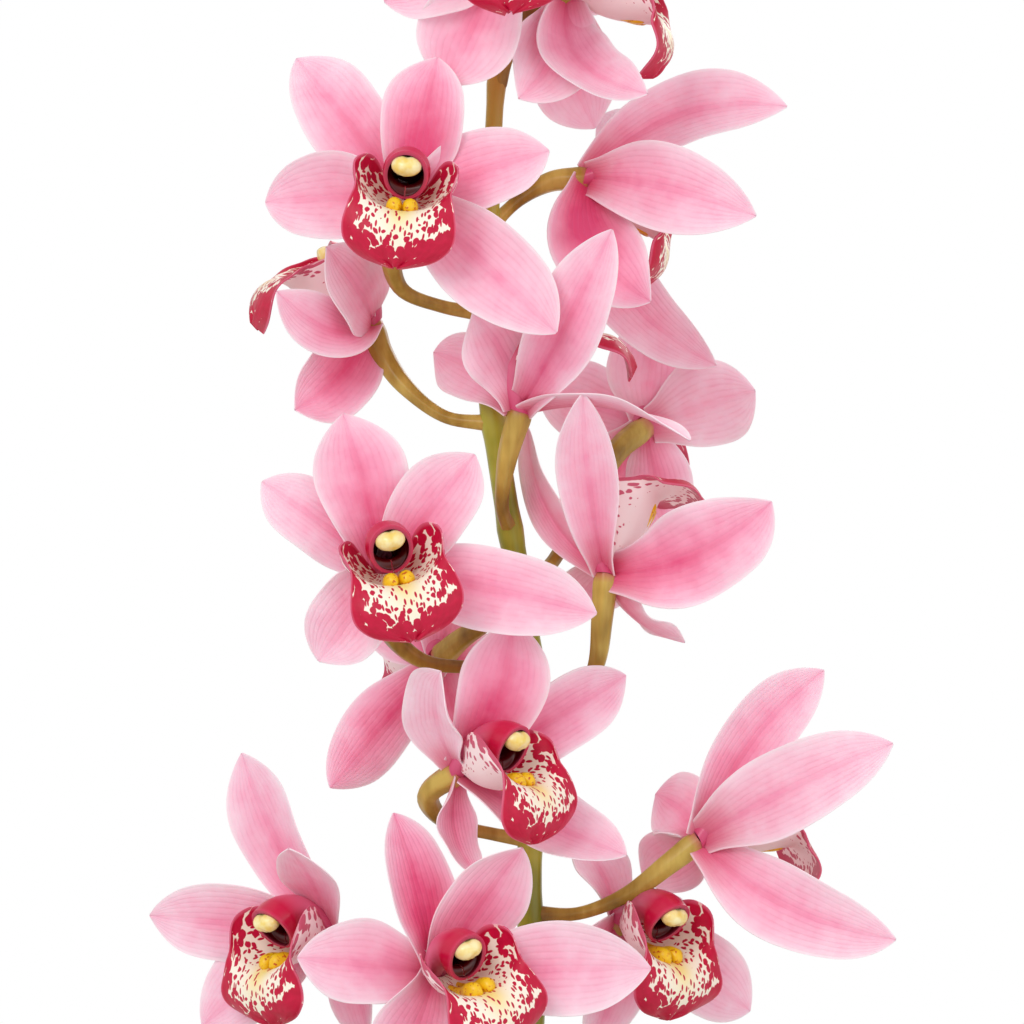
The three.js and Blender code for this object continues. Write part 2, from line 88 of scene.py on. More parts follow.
def bump_at(centre: float, spread: float, values: Any) -> np.ndarray:
    """Give a bell of height one round a centre."""
    return np.exp(-(((np.asarray(values, float) - centre) / spread) ** 2))


def read_curve(table: tuple, shares: Any) -> np.ndarray:
    """Read a smooth curve through a table of places and values.

    Args:
        table: Pairs of place and value, or place and several values, in rising order of place.
        shares: The places to read at.

    Returns:
        The value, or row of values, at each place.
    """
    rows = np.array(table, float)
    places, values = rows[:, 0], rows[:, 1:]
    slopes = np.gradient(values, places, axis=0)
    shares = np.atleast_1d(np.asarray(shares, float))
    index = np.clip(np.searchsorted(places, shares, side="right") - 1, 0, len(places) - 2)
    step = (places[index + 1] - places[index])[:, None]
    t = (shares[:, None] - places[index][:, None]) / step
    read = (
        (2 * t**3 - 3 * t**2 + 1) * values[index]
        + (t**3 - 2 * t**2 + t) * step * slopes[index]
        + (3 * t**2 - 2 * t**3) * values[index + 1]
        + (t**3 - t**2) * step * slopes[index + 1]
    )
    return read[:, 0] if read.shape[1] == 1 else read


def bezier(points: list[np.ndarray], shares: np.ndarray) -> np.ndarray:
    """Follow a Bezier curve of any degree.

    Args:
        points: The control points.
        shares: The places along the curve, from 0 to 1.

    Returns:
        One point to each share.
    """
    layers = [np.repeat(np.asarray(point, float)[None, :], len(shares), 0) for point in points]
    t = shares[:, None]
    while len(layers) > 1:
        layers = [(1 - t) * a + t * b for a, b in zip(layers, layers[1:])]
    return layers[0]


def path_through(points: Any, count: int) -> np.ndarray:
    """Run a smooth path through points, evenly stepped along its length.

    Args:
        points: The points it passes through.
        count: How many points the path has.

    Returns:
        The path's points.
    """
    points = np.asarray(points, float)
    gaps = np.sqrt(np.linalg.norm(np.diff(points, axis=0), axis=1))
    places = np.concatenate([[0.0], np.cumsum(gaps)])
    table = tuple((place, *point) for place, point in zip(places, points))
    fine = read_curve(table, np.linspace(0, places[-1], count * 8))
    lengths = np.concatenate([[0.0], np.cumsum(np.linalg.norm(np.diff(fine, axis=0), axis=1))])
    wanted = np.linspace(0, lengths[-1], count)
    return np.stack([np.interp(wanted, lengths, fine[:, axis]) for axis in range(3)], axis=1)


def directions(path: np.ndarray) -> np.ndarray:
    """Give the direction of a path at each of its points."""
    along = np.gradient(path, axis=0)
    return along / np.linalg.norm(along, axis=1, keepdims=True)


def carried_fronts(along: np.ndarray, first: Any) -> np.ndarray:
    """Carry a front vector down a path without twisting it.

    Args:
        along: The path's direction at each point.
        first: The front at the first point.

    Returns:
        The front at each point, square to the path.
    """
    front = np.asarray(first, float)
    fronts = []
    for direction in along:
        front = unit(front - direction * front.dot(direction))
        fronts.append(front)
    return np.array(fronts)


# ------------------------------------------------------------------ mesh making


def make_piece(name: str, points: np.ndarray, faces: list, material: bpy.types.Material) -> bpy.types.Object:
    """Make a smooth object at the origin from points in millimetres.

    Args:
        name: The piece's name.
        points: Its points, in millimetres.
        faces: Its faces, as lists of point numbers.
        material: Its finish.

    Returns:
        The new object, in the scene.
    """
    mesh = bpy.data.meshes.new(name)
    mesh.from_pydata((np.asarray(points) * MM).tolist(), [], faces)
    mesh.update()
    mesh.polygons.foreach_set("use_smooth", [True] * len(mesh.polygons))
    mesh.set_sharp_from_angle(angle=math.radians(62))
    mesh.materials.append(material)
    piece = bpy.data.objects.new(name, mesh)
    bpy.context.scene.collection.objects.link(piece)
    return piece


def set_values(piece: bpy.types.Object, values: dict[str, np.ndarray]) -> None:
    """Write named numbers onto a piece's points, for its material to read.

    Args:
        piece: The piece.
        values: A row of numbers, one to a point, under each name.
    """
    for name, numbers in values.items():
        attribute = piece.data.attributes.new(name, "FLOAT", "POINT")
        attribute.data.foreach_set("value", np.asarray(numbers, np.float32).ravel())


def set_map(piece: bpy.types.Object, places: np.ndarray) -> None:
    """Write a UV map from a pair of numbers at each point.

    Args:
        piece: The piece.
        places: The two map coordinates of each point.
    """
    mesh = piece.data
    corners = np.empty(len(mesh.loops), np.int64)
    mesh.loops.foreach_get("vertex_index", corners)
    layer = mesh.uv_layers.new(name="UVMap")
    layer.data.foreach_set("uv", np.asarray(places, np.float32)[corners].ravel())


def settle(piece: bpy.types.Object, slot: Slot, *nodes: str) -> bpy.types.Object:
    """Ride a finished piece on the plant and hide the CAD nodes it stands for.

    Args:
        piece: The piece.
        slot: Not used.
        nodes: The CAD nodes it replaces, if any.

    Returns:
        The same piece.
    """
    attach(piece, "root")
    if nodes:
        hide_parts(*nodes)
    LOG.info("%s: %d faces", piece.name, len(piece.data.polygons))
    return piece


@dataclass
class Shell:
    """A thin living sheet: a grid of points given a thickness and closed round its edge.

    Its front is the side from which columns run to the right when rows run up.
    """

    points: np.ndarray
    thickness: np.ndarray

    def normals(self) -> np.ndarray:
        """Give the front's direction at each point of the grid.

        Returns:
            One unit vector to each point.
        """
        up = np.gradient(self.points, axis=0)
        across = np.gradient(self.points, axis=1)
        normal = np.cross(up, across)
        return normal / np.maximum(np.linalg.norm(normal, axis=2, keepdims=True), 1e-9)

    def faces(self) -> list:
        """Give the faces of both sides and of the edge that joins them.

        Returns:
            The faces, as lists of point numbers.
        """
        rows, columns = self.points.shape[:2]
        grid = np.arange(rows * columns).reshape(rows, columns)
        back = grid + rows * columns
        faces = []
        for r in range(rows - 1):
            for c in range(columns - 1):
                ring = [grid[r, c], grid[r + 1, c], grid[r + 1, c + 1], grid[r, c + 1]]
                faces.append([int(i) for i in ring])
                faces.append([int(i) + rows * columns for i in reversed(ring)])
        rim = [*grid[0, :], *grid[1:, -1], *grid[-1, -2::-1], *grid[-2:0:-1, 0]]
        under = [*back[0, :], *back[1:, -1], *back[-1, -2::-1], *back[-2:0:-1, 0]]
        for i in range(len(rim)):
            j = (i + 1) % len(rim)
            faces.append([int(rim[i]), int(rim[j]), int(under[j]), int(under[i])])
        return faces

    def build(
        self, name: str, material: bpy.types.Material, values: dict[str, np.ndarray] | None = None
    ) -> bpy.types.Object:
        """Make the sheet's object, with its map, its sides and any other values.

        Args:
            name: The piece's name.
            material: Its finish.
            values: Numbers over the grid, under their names.

        Returns:
            The new object.
        """
        rows, columns = self.points.shape[:2]
        offset = self.normals() * (self.thickness / 2)[:, :, None]
        points = np.concatenate([(self.points + offset).reshape(-1, 3), (self.points - offset).reshape(-1, 3)])
        piece = make_piece(name, points, self.faces(), material)
        u, v = np.meshgrid(np.linspace(0, 1, columns), np.linspace(0, 1, rows))
        place = np.stack([u.ravel(), v.ravel()], axis=1)
        set_map(piece, np.concatenate([place, place]))
        size = rows * columns
        both = {
            key: np.tile(np.broadcast_to(value, (rows, columns)).ravel(), 2) for key, value in (values or {}).items()
        }
        both["reverse"] = np.concatenate([np.zeros(size), np.ones(size)])
        set_values(piece, both)
        return piece


def ring_faces(rings: int, sides: int, start: int = 0) -> list:
    """Give the faces of a capped tube whose points run ring by ring.

    Args:
        rings: How many rings it has.
        sides: How many points a ring has.
        start: The number of its first point.

    Returns:
        The faces, caps included, pointing out when rings run anticlockwise seen from the far end.
    """
    faces = [[start + i for i in reversed(range(sides))]]
    for r in range(rings - 1):
        for i in range(sides):
            j = (i + 1) % sides
            low, high = start + r * sides, start + (r + 1) * sides
            faces.append([low + i, low + j, high + j, high + i])
    last = start + (rings - 1) * sides
    faces.append([last + i for i in range(sides)])
    return faces


@dataclass
class Tube:
    """A round or ribbed stalk along a path."""

    path: np.ndarray
    radii: np.ndarray
    sides: int = 20
    front: tuple[float, float, float] = (0.0, -1.0, 0.0)
    ribs: int = 0
    rib_depth: float = 0.0
    squash: float = 1.0

    def points(self) -> np.ndarray:
        """Give the tube's points.

        Returns:
            The points, ring by ring.
        """
        along = directions(self.path)
        fronts = carried_fronts(along, self.front)
        sides = np.cross(along, fronts)
        turn = np.linspace(0, 2 * math.pi, self.sides, endpoint=False)
        swell = 1 + self.rib_depth * np.cos(self.ribs * turn)
        reach = self.radii[:, None] * swell[None, :]
        ring = (
            fronts[:, None, :] * (reach * np.cos(turn) * self.squash)[:, :, None]
            + sides[:, None, :] * (reach * np.sin(turn))[:, :, None]
        )
        return self.path[:, None, :] + ring

    def build(self, name: str, material: bpy.types.Material) -> bpy.types.Object:
        """Make the tube's object, with each point's share of its length.

        Args:
            name: The piece's name.
            material: Its finish.

        Returns:
            The new object.
        """
        points = self.points()
        rings, sides = points.shape[:2]
        piece = make_piece(name, points.reshape(-1, 3), ring_faces(rings, sides), material)
        set_values(piece, {"share": np.repeat(np.linspace(0, 1, rings)[:, None], sides, 1)})
        return piece


def lathe_points(profile: Any, segments: int) -> np.ndarray:
    """Turn a profile about the upright axis.

    Args:
        profile: Pairs of radius and height, up the outside and down the inside.
        segments: How many steps it turns in.

    Returns:
        The points, ring by ring.
    """
    profile = np.asarray(profile, float)
    turn = np.linspace(0, 2 * math.pi, segments, endpoint=False)
    ring = np.stack([np.cos(turn), np.sin(turn)], axis=1)
    flat = profile[:, None, :1] * ring[None, :, :]
    height = np.broadcast_to(profile[:, None, 1:], (len(profile), segments, 1))
    return np.concatenate([flat, height], axis=2)


# ------------------------------------------------------------------ finishes


def linear(code: str) -> tuple[float, float, float, float]:
    """Turn an sRGB hex colour such as "#f4a6c0" into linear red, green and blue with full alpha."""
    parts = [int(code[i : i + 2], 16) / 255 for i in (1, 3, 5)]
    return (*[p / 12.92 if p <= 0.04045 else ((p + 0.055) / 1.055) ** 2.4 for p in parts], 1.0)


def add_node(
    tree: bpy.types.NodeTree, kind: str, settings: dict | None = None, links: dict | None = None
) -> bpy.types.Node:
    """Add a node with its settings and its incoming links.

    Args:
        tree: The node tree.
        kind: The node's type.
        settings: Properties by name, input values by name or number, and a ramp's "stops".
        links: The output to join to each input, by the input's name or number.

    Returns:
        The new node.
    """
    node = tree.nodes.new(kind)
    for key, value in (settings or {}).items():
        if key == "stops":
            ramp = node.color_ramp
            while len(ramp.elements) < len(value):
                ramp.elements.new(0.5)
            for element, (place, code) in zip(ramp.elements, value):
                element.position = place
                element.color = linear(code)
        elif isinstance(key, str) and hasattr(node, key):
            setattr(node, key, value)
        else:
            node.inputs[key].default_value = value
    for key, source in (links or {}).items():
        tree.links.new(source, node.inputs[key])
    return node


def new_surface(name: str, settings: dict) -> tuple[bpy.types.Material, bpy.types.Node]:
    """Start a material with one Principled shader.

    Args:
        name: The material's name.
        settings: The shader's constant inputs.

    Returns:
        The material and its shader node.
    """
    material = bpy.data.materials.new(name)
    material.use_nodes = True
    tree = material.node_tree
    tree.nodes.clear()
    shader = add_node(tree, "ShaderNodeBsdfPrincipled", settings)
    add_node(tree, "ShaderNodeOutputMaterial", {}, {"Surface": shader.outputs[0]})
    return material, shader


@dataclass(frozen=True)
class TepalFinish:
    """Living tepal skin, waxy and thin: satin, lit through, with fine parallel veins."""

    pale: str = "#ffd3e2"
    pink: str = "#fb9dbc"
    deep: str = "#e75485"
    vein: str = "#e5759a"
    margin: str = "#ffeaf2"
    base_red: str = "#d43a66"
    veins_across: int = 14
    cell_mm: float = 0.9

    def build(self) -> bpy.types.Material:
        """Make the material, which reads the blush, rim and root values of a tepal.

        Returns:
            The material.
        """
        material, shader = new_surface(
            "tepal_skin",
            {
                "Roughness": 0.46,
                "IOR": 1.42,
                "Subsurface Weight": 0.22,
                "Subsurface Radius": (1.0, 0.42, 0.5),
                "Subsurface Scale": 0.003,
                "Sheen Weight": 0.12,
                "Sheen Roughness": 0.4,
            },
        )
        tree = material.node_tree
        place = add_node(tree, "ShaderNodeTexCoord")
        blush, rim, root = (
            add_node(tree, "ShaderNodeAttribute", {"attribute_name": name}) for name in ("blush", "rim", "root")
        )
        # Cloudy colour patches a few millimetres wide keep the pink from looking painted.
        cloud = add_node(
            tree,
            "ShaderNodeTexNoise",
            {"Scale": 1 / (7 * MM), "Detail": 3.0, "Roughness": 0.55},
            {"Vector": place.outputs["Object"]},
        )
        # One band to each parallel vein, from margin to margin.
        veins = add_node(
            tree,
            "ShaderNodeTexWave",
            {
                "bands_direction": "X",
                "Scale": 2 * math.pi * self.veins_across / 20,
                "Distortion": 2.4,
                "Detail": 3.0,
                "Detail Scale": 1.1,
                "Detail Roughness": 0.6,
            },
            {"Vector": place.outputs["UV"]},
        )
        narrow = add_node(tree, "ShaderNodeMath", {"operation": "POWER", 1: 3.0}, {0: veins.outputs["Fac"]})
        mottled = add_node(
            tree,
            "ShaderNodeMath",
            {"operation": "MULTIPLY_ADD", 1: 0.5, 2: -0.25},
            {0: cloud.outputs["Fac"]},
        )
        depth = add_node(
            tree,
            "ShaderNodeMath",
            {"operation": "ADD", "use_clamp": True},
            {0: blush.outputs["Fac"], 1: mottled.outputs[0]},
        )
        body = add_node(
            tree,
            "ShaderNodeValToRGB",
            {"stops": [(0.0, self.pale), (0.5, self.pink), (1.0, self.deep)]},
            {"Fac": depth.outputs[0]},
        )
        faded = add_node(
            tree,
            "ShaderNodeMapRange",
            {"From Min": 0.35, "From Max": 0.7, "To Max": 0.22},
            {"Value": cloud.outputs["Fac"]},
        )
        vein_share = add_node(
            tree, "ShaderNodeMath", {"operation": "MULTIPLY"}, {0: narrow.outputs[0], 1: faded.outputs[0]}
        )
        surface = body.outputs["Color"]
        for colour, cover in (
            (self.vein, vein_share.outputs[0]),
            (self.base_red, root.outputs["Fac"]),
            (self.margin, rim.outputs["Fac"]),
        ):
            layer = add_node(
                tree, "ShaderNodeMix", {"data_type": "RGBA", 7: linear(colour)}, {0: cover, 6: surface}
            )
            surface = layer.outputs[2]
        tree.links.new(surface, shader.inputs["Base Color"])
        # The skin's cells are a tenth of this in life: drawn coarse, they give the satin its sparkle.
        cells = add_node(
            tree,
            "ShaderNodeTexVoronoi",
            {"Scale": 1 / (self.cell_mm * MM), "feature": "F1"},
            {"Vector": place.outputs["Object"]},
        )
        height = add_node(
            tree,
            "ShaderNodeMath",
            {"operation": "MULTIPLY_ADD", 1: 0.18},
            {0: cells.outputs["Distance"], 2: narrow.outputs[0]},
        )
        relief = add_node(
            tree,
            "ShaderNodeBump",
            {"Strength": 0.22, "Distance": 0.0004, "invert": True},
            {"Height": height.outputs[0]},
        )
        tree.links.new(relief.outputs["Normal"], shader.inputs["Normal"])
        return material


@dataclass(frozen=True)
class LipFinish:
    """Velvety lip: cream throat, crimson blotches that run together into a solid rim."""

    cream: str = "#fff3e2"
    butter: str = "#fbe08a"
    crimson: str = "#b0002c"
    scarlet: str = "#d60a44"
    pink_edge: str = "#f083a4"
    outside: str = "#ffe6e6"
    magenta: str = "#c61d56"
    blotch_mm: float = 2.9
    dash_mm: tuple[float, float] = (1.9, 6.0)
    open_mm: tuple[float, float] = (46.0, 60.0)

    def build(self) -> bpy.types.Material:
        """Make the material, which reads the rim, edge, centre and reverse values of a lip.

        Returns:
            The material.
        """
        material, shader = new_surface(
            "lip_velvet",
            {
                "Roughness": 0.44,
                "IOR": 1.4,
                "Subsurface Weight": 0.08,
                "Subsurface Radius": (1.0, 0.3, 0.3),
                "Subsurface Scale": 0.001,
            },
        )
        tree = material.node_tree
        place = add_node(tree, "ShaderNodeTexCoord")
        rim, edge, centre, reverse = (
            add_node(tree, "ShaderNodeAttribute", {"attribute_name": name})
            for name in ("rim", "edge", "centre", "reverse")
        )
        # The map covers the lip opened flat, so its patterns are sized from open_mm.
        wide, long = self.open_mm
        spread = add_node(
            tree,
            "ShaderNodeMapping",
            {"Scale": (wide / self.blotch_mm, long / (self.blotch_mm * 1.15), 1.0)},
            {"Vector": place.outputs["UV"]},
        )
        wander = add_node(
            tree, "ShaderNodeTexNoise", {"Scale": 1.1, "Detail": 2.0}, {"Vector": spread.outputs[0]}
        )
        swayed = add_node(
            tree,
            "ShaderNodeMix",
            {"data_type": "RGBA", "blend_type": "ADD", 0: 0.7},
            {6: spread.outputs[0], 7: wander.outputs["Color"]},
        )
        blotch = add_node(
            tree,
            "ShaderNodeTexVoronoi",
            {"Scale": 1.0, "feature": "F1", "voronoi_dimensions": "2D"},
            {"Vector": swayed.outputs[2]},
        )
        # Near the rim each blotch fills its cell; near the throat only its middle, or nothing, is left.
        grown = add_node(
            tree,
            "ShaderNodeMath",
            {"operation": "MULTIPLY_ADD", 1: 1.75, 2: 0.12},
            {0: rim.outputs["Fac"]},
        )
        shrunk = add_node(
            tree,
            "ShaderNodeMath",
            {"operation": "MULTIPLY_ADD", 1: -1.55},
            {0: blotch.outputs["Distance"], 2: grown.outputs[0]},
        )
        spots = add_node(
            tree, "ShaderNodeMapRange", {"From Min": 0.44, "From Max": 0.54}, {"Value": shrunk.outputs[0]}
        )
        # Long thin dashes run out of the throat between the keels and the blotches.
        drawn = add_node(
            tree,
            "ShaderNodeMapping",
            {"Scale": (wide / self.dash_mm[0], long / self.dash_mm[1], 1.0)},
            {"Vector": place.outputs["UV"]},
        )
        dash = add_node(
            tree,
            "ShaderNodeTexVoronoi",
            {"Scale": 1.0, "feature": "F1", "voronoi_dimensions": "2D"},
            {"Vector": drawn.outputs[0]},
        )
        dashes = add_node(
            tree, "ShaderNodeMapRange", {"From Min": 0.25, "From Max": 0.19}, {"Value": dash.outputs["Distance"]}
        )
        marks = add_node(
            tree,
            "ShaderNodeMath",
            {"operation": "MAXIMUM"},
            {0: spots.outputs[0], 1: dashes.outputs[0]},
        )
        ground = add_node(
            tree,
            "ShaderNodeMix",
            {"data_type": "RGBA", 6: linear(self.cream), 7: linear(self.butter)},
            {0: centre.outputs["Fac"]},
        )
        hue = add_node(
            tree,
            "ShaderNodeMix",
            {"data_type": "RGBA", 6: linear(self.crimson), 7: linear(self.scarlet)},
            {0: wander.outputs["Fac"]},
        )
        spotted = add_node(
            tree,
            "ShaderNodeMix",
            {"data_type": "RGBA"},
            {0: marks.outputs[0], 6: ground.outputs[2], 7: hue.outputs[2]},
        )
        edged = add_node(
            tree,
            "ShaderNodeMix",
            {"data_type": "RGBA", 7: linear(self.pink_edge)},
            {0: edge.outputs["Fac"], 6: spotted.outputs[2]},
        )
        rosy = add_node(
            tree,
            "ShaderNodeMapRange",
            {"From Min": 0.82, "From Max": 1.0, "To Max": 0.75},
            {"Value": rim.outputs["Fac"]},
        )
        # The blotches show through from behind, most of all in the thin front lobe.
        along = add_node(tree, "ShaderNodeSeparateXYZ", {}, {0: place.outputs["UV"]})
        thin = add_node(
            tree,
            "ShaderNodeMapRange",
            {"From Min": 0.48, "From Max": 0.64, "To Max": 0.3},
            {"Value": along.outputs["Y"]},
        )
        shown = add_node(tree, "ShaderNodeMath", {"operation": "ADD"}, {0: shrunk.outputs[0], 1: thin.outputs[0]})
        through = add_node(
            tree,
            "ShaderNodeMapRange",
            {"From Min": 0.72, "From Max": 0.84, "To Max": 0.9},
            {"Value": shown.outputs[0]},
        )
        stained = add_node(
            tree,
            "ShaderNodeMath",
            {"operation": "MAXIMUM"},
            {0: rosy.outputs[0], 1: through.outputs[0]},
        )
        outer = add_node(
            tree,
            "ShaderNodeMix",
            {"data_type": "RGBA", 6: linear(self.outside), 7: linear(self.magenta)},
            {0: stained.outputs[0]},
        )
        both = add_node(
            tree,
            "ShaderNodeMix",
            {"data_type": "RGBA"},
            {0: reverse.outputs["Fac"], 6: edged.outputs[2], 7: outer.outputs[2]},
        )
        tree.links.new(both.outputs[2], shader.inputs["Base Color"])
        relief = add_node(
            tree, "ShaderNodeBump", {"Strength": 0.3, "Distance": 0.0004}, {"Height": wander.outputs["Fac"]}
        )
        tree.links.new(relief.outputs["Normal"], shader.inputs["Normal"])
        return material


@dataclass(frozen=True)
class KeelFinish:
    """The lip's two waxy keels: egg yellow with orange freckles, glossy like wet wax."""

    yellow: str = "#f6c51c"
    orange: str = "#c9530f"
    freckle_mm: float = 1.1

    def build(self) -> bpy.types.Material:
        """Make the material.

        Returns:
            The material.
        """
        material, shader = new_surface("keel_wax", {"Roughness": 0.3, "IOR": 1.45})
        tree = material.node_tree
        place = add_node(tree, "ShaderNodeTexCoord")
        freckle = add_node(
            tree,
            "ShaderNodeTexNoise",
            {"Scale": 1 / (self.freckle_mm * MM), "Detail": 1.0},
            {"Vector": place.outputs["Object"]},
        )
        ramp = add_node(
            tree,
            "ShaderNodeValToRGB",
            {"stops": [(0.0, self.yellow), (0.58, self.yellow), (0.7, self.orange)]},
            {"Fac": freckle.outputs["Fac"]},
        )
        tree.links.new(ramp.outputs["Color"], shader.inputs["Base Color"])
        return material


@dataclass(frozen=True)
class ColumnFinish:
    """The fleshy column: crimson-pink and satin outside, wet and dark red in its hollow, deepened to maroon with
    painted shade.
    """

    foot: str = "#cf4a74"
    rose: str = "#e8799c"
    crimson: str = "#c90a3f"
    edge: str = "#dc4a74"
    shaded_maroon: str = "#560008"

    def build(self) -> bpy.types.Material:
        """Make the material, which reads the share, edge and reverse values of a column.

        Returns:
            The material.
        """
        material, shader = new_surface("column_flesh", {"Roughness": 0.34, "IOR": 1.44, "Coat Weight": 0.15})
        tree = material.node_tree
        share, edge, reverse = (
            add_node(tree, "ShaderNodeAttribute", {"attribute_name": name}) for name in ("share", "edge", "reverse")
        )
        outside = add_node(
            tree,
            "ShaderNodeValToRGB",
            {"stops": [(0.0, self.foot), (0.42, self.rose), (0.82, self.crimson)]},
            {"Fac": share.outputs["Fac"]},
        )
        surface = outside.outputs["Color"]
        # The hood's whole inside is painted dark maroon: painted shade for the hollow beneath the hood, laid over the
        # hollow's own dark red.
        for colour, cover in (
            (self.shaded_maroon, reverse.outputs["Fac"]),
            (self.edge, edge.outputs["Fac"]),
        ):
            layer = add_node(
                tree, "ShaderNodeMix", {"data_type": "RGBA", 7: linear(colour)}, {0: cover, 6: surface}
            )
            surface = layer.outputs[2]
        tree.links.new(surface, shader.inputs["Base Color"])
        return material


@dataclass(frozen=True)
class CapFinish:
    """The anther cap: smooth cream-yellow wax with a high gloss."""

    cream: str = "#fff2b8"
    butter: str = "#f7d66a"

    def build(self) -> bpy.types.Material:
        """Make the material.

        Returns:
            The material.
        """
        material, shader = new_surface("anther_wax", {"Roughness": 0.22, "IOR": 1.46, "Coat Weight": 0.3})
        tree = material.node_tree
        place = add_node(tree, "ShaderNodeTexCoord")
        cloud = add_node(
            tree, "ShaderNodeTexNoise", {"Scale": 1 / (3 * MM)}, {"Vector": place.outputs["Object"]}
        )
        ramp = add_node(
            tree,
            "ShaderNodeValToRGB",
            {"stops": [(0.35, self.cream), (0.7, self.butter)]},
            {"Fac": cloud.outputs["Fac"]},
        )
        tree.links.new(ramp.outputs["Color"], shader.inputs["Base Color"])
        return material


@dataclass(frozen=True)
class StalkFinish:
    """Green plant stalk with a thin waxy skin: long streaks, a soft gloss, and another colour towards its end."""

    name: str
    shade: str
    body: str
    light: str
    ripe: str
    ripens: tuple[float, float]
    streaks: int = 9
    roughness: float = 0.34

    def build(self) -> bpy.types.Material:
        """Make the material, which reads the share values of a stalk.

        Returns:
            The material.
        """
        material, shader = new_surface(
            self.name,
            {"Roughness": self.roughness, "IOR": 1.45, "Subsurface Weight": 0.08, "Subsurface Scale": 0.001},
        )
        tree = material.node_tree
        place = add_node(tree, "ShaderNodeTexCoord")
        share = add_node(tree, "ShaderNodeAttribute", {"attribute_name": "share"})
        # Streaks run along the stalk, so the pattern is squeezed along the upright.
        squeeze = add_node(
            tree, "ShaderNodeMapping", {"Scale": (1.0, 1.0, 0.16)}, {"Vector": place.outputs["Object"]}
        )
        streak = add_node(
            tree,
            "ShaderNodeTexNoise",
            {"Scale": self.streaks / (7 * MM) / 3, "Detail": 3.0},
            {"Vector": squeeze.outputs[0]},
        )
        cloud = add_node(
            tree, "ShaderNodeTexNoise", {"Scale": 1 / (18 * MM), "Detail": 2.0}, {"Vector": place.outputs["Object"]}
        )
        mixed = add_node(
            tree,
            "ShaderNodeMath",
            {"operation": "MULTIPLY_ADD", 1: 0.3},
            {0: streak.outputs["Fac"], 2: cloud.outputs["Fac"]},
        )
        eased = add_node(
            tree,
            "ShaderNodeMath",
            {"operation": "MULTIPLY_ADD", 1: 0.12},
            {0: share.outputs["Fac"], 2: mixed.outputs[0]},
        )
        ramp = add_node(
            tree,
            "ShaderNodeValToRGB",
            {"stops": [(0.48, self.shade), (0.68, self.body), (0.9, self.light)]},
            {"Fac": eased.outputs[0]},
        )
        late = add_node(
            tree,
            "ShaderNodeMapRange",
            {"From Min": self.ripens[0], "From Max": self.ripens[1], "To Max": 0.85},
            {"Value": share.outputs["Fac"]},
        )
        coloured = add_node(
            tree,
            "ShaderNodeMix",
            {"data_type": "RGBA", 7: linear(self.ripe)},
            {0: late.outputs[0], 6: ramp.outputs["Color"]},
        )
        tree.links.new(coloured.outputs[2], shader.inputs["Base Color"])
        relief = add_node(
            tree, "ShaderNodeBump", {"Strength": 0.15, "Distance": 0.0003}, {"Height": streak.outputs["Fac"]}
        )
        tree.links.new(relief.outputs["Normal"], shader.inputs["Normal"])
        return material


@dataclass(frozen=True)
class LeafFinish:
    """Leathery strap leaf: cutin gloss, parallel veins and a paler fold."""

    name: str
    dark: str
    green: str
    fresh: str
    fold: str
    dry: str = "#8a6a35"
    veins_across: int = 15
    roughness: float = 0.36

    def build(self) -> bpy.types.Material:
        """Make the material, which reads the fold and tip values of a leaf.

        Returns:
            The material.
        """
        material, shader = new_surface(
            self.name,
            {"Roughness": self.roughness, "IOR": 1.45, "Subsurface Weight": 0.06, "Subsurface Scale": 0.0015},
        )
        tree = material.node_tree
        place = add_node(tree, "ShaderNodeTexCoord")
        fold, tip = (
            add_node(tree, "ShaderNodeAttribute", {"attribute_name": name}) for name in ("fold", "tip")
        )
        cloud = add_node(
            tree, "ShaderNodeTexNoise", {"Scale": 1 / (25 * MM), "Detail": 4.0}, {"Vector": place.outputs["Object"]}
        )
        veins = add_node(
            tree,
            "ShaderNodeTexWave",
            {"bands_direction": "X", "Scale": 2 * math.pi * self.veins_across / 20, "Distortion": 0.5, "Detail": 1.0},
            {"Vector": place.outputs["UV"]},
        )
        mixed = add_node(
            tree,
            "ShaderNodeMath",
            {"operation": "MULTIPLY_ADD", 1: 0.12},
            {0: veins.outputs["Fac"], 2: cloud.outputs["Fac"]},
        )
        body = add_node(
            tree,
            "ShaderNodeValToRGB",
            {"stops": [(0.32, self.dark), (0.55, self.green), (0.78, self.fresh)]},
            {"Fac": mixed.outputs[0]},
        )
        surface = body.outputs["Color"]
        for colour, cover in (
            (self.fold, fold.outputs["Fac"]),
            (self.dry, tip.outputs["Fac"]),
        ):
            layer = add_node(
                tree, "ShaderNodeMix", {"data_type": "RGBA", 7: linear(colour)}, {0: cover, 6: surface}
            )
            surface = layer.outputs[2]
        tree.links.new(surface, shader.inputs["Base Color"])
        relief = add_node(
            tree, "ShaderNodeBump", {"Strength": 0.3, "Distance": 0.0003}, {"Height": veins.outputs["Fac"]}
        )
        tree.links.new(relief.outputs["Normal"], shader.inputs["Normal"])
        return material


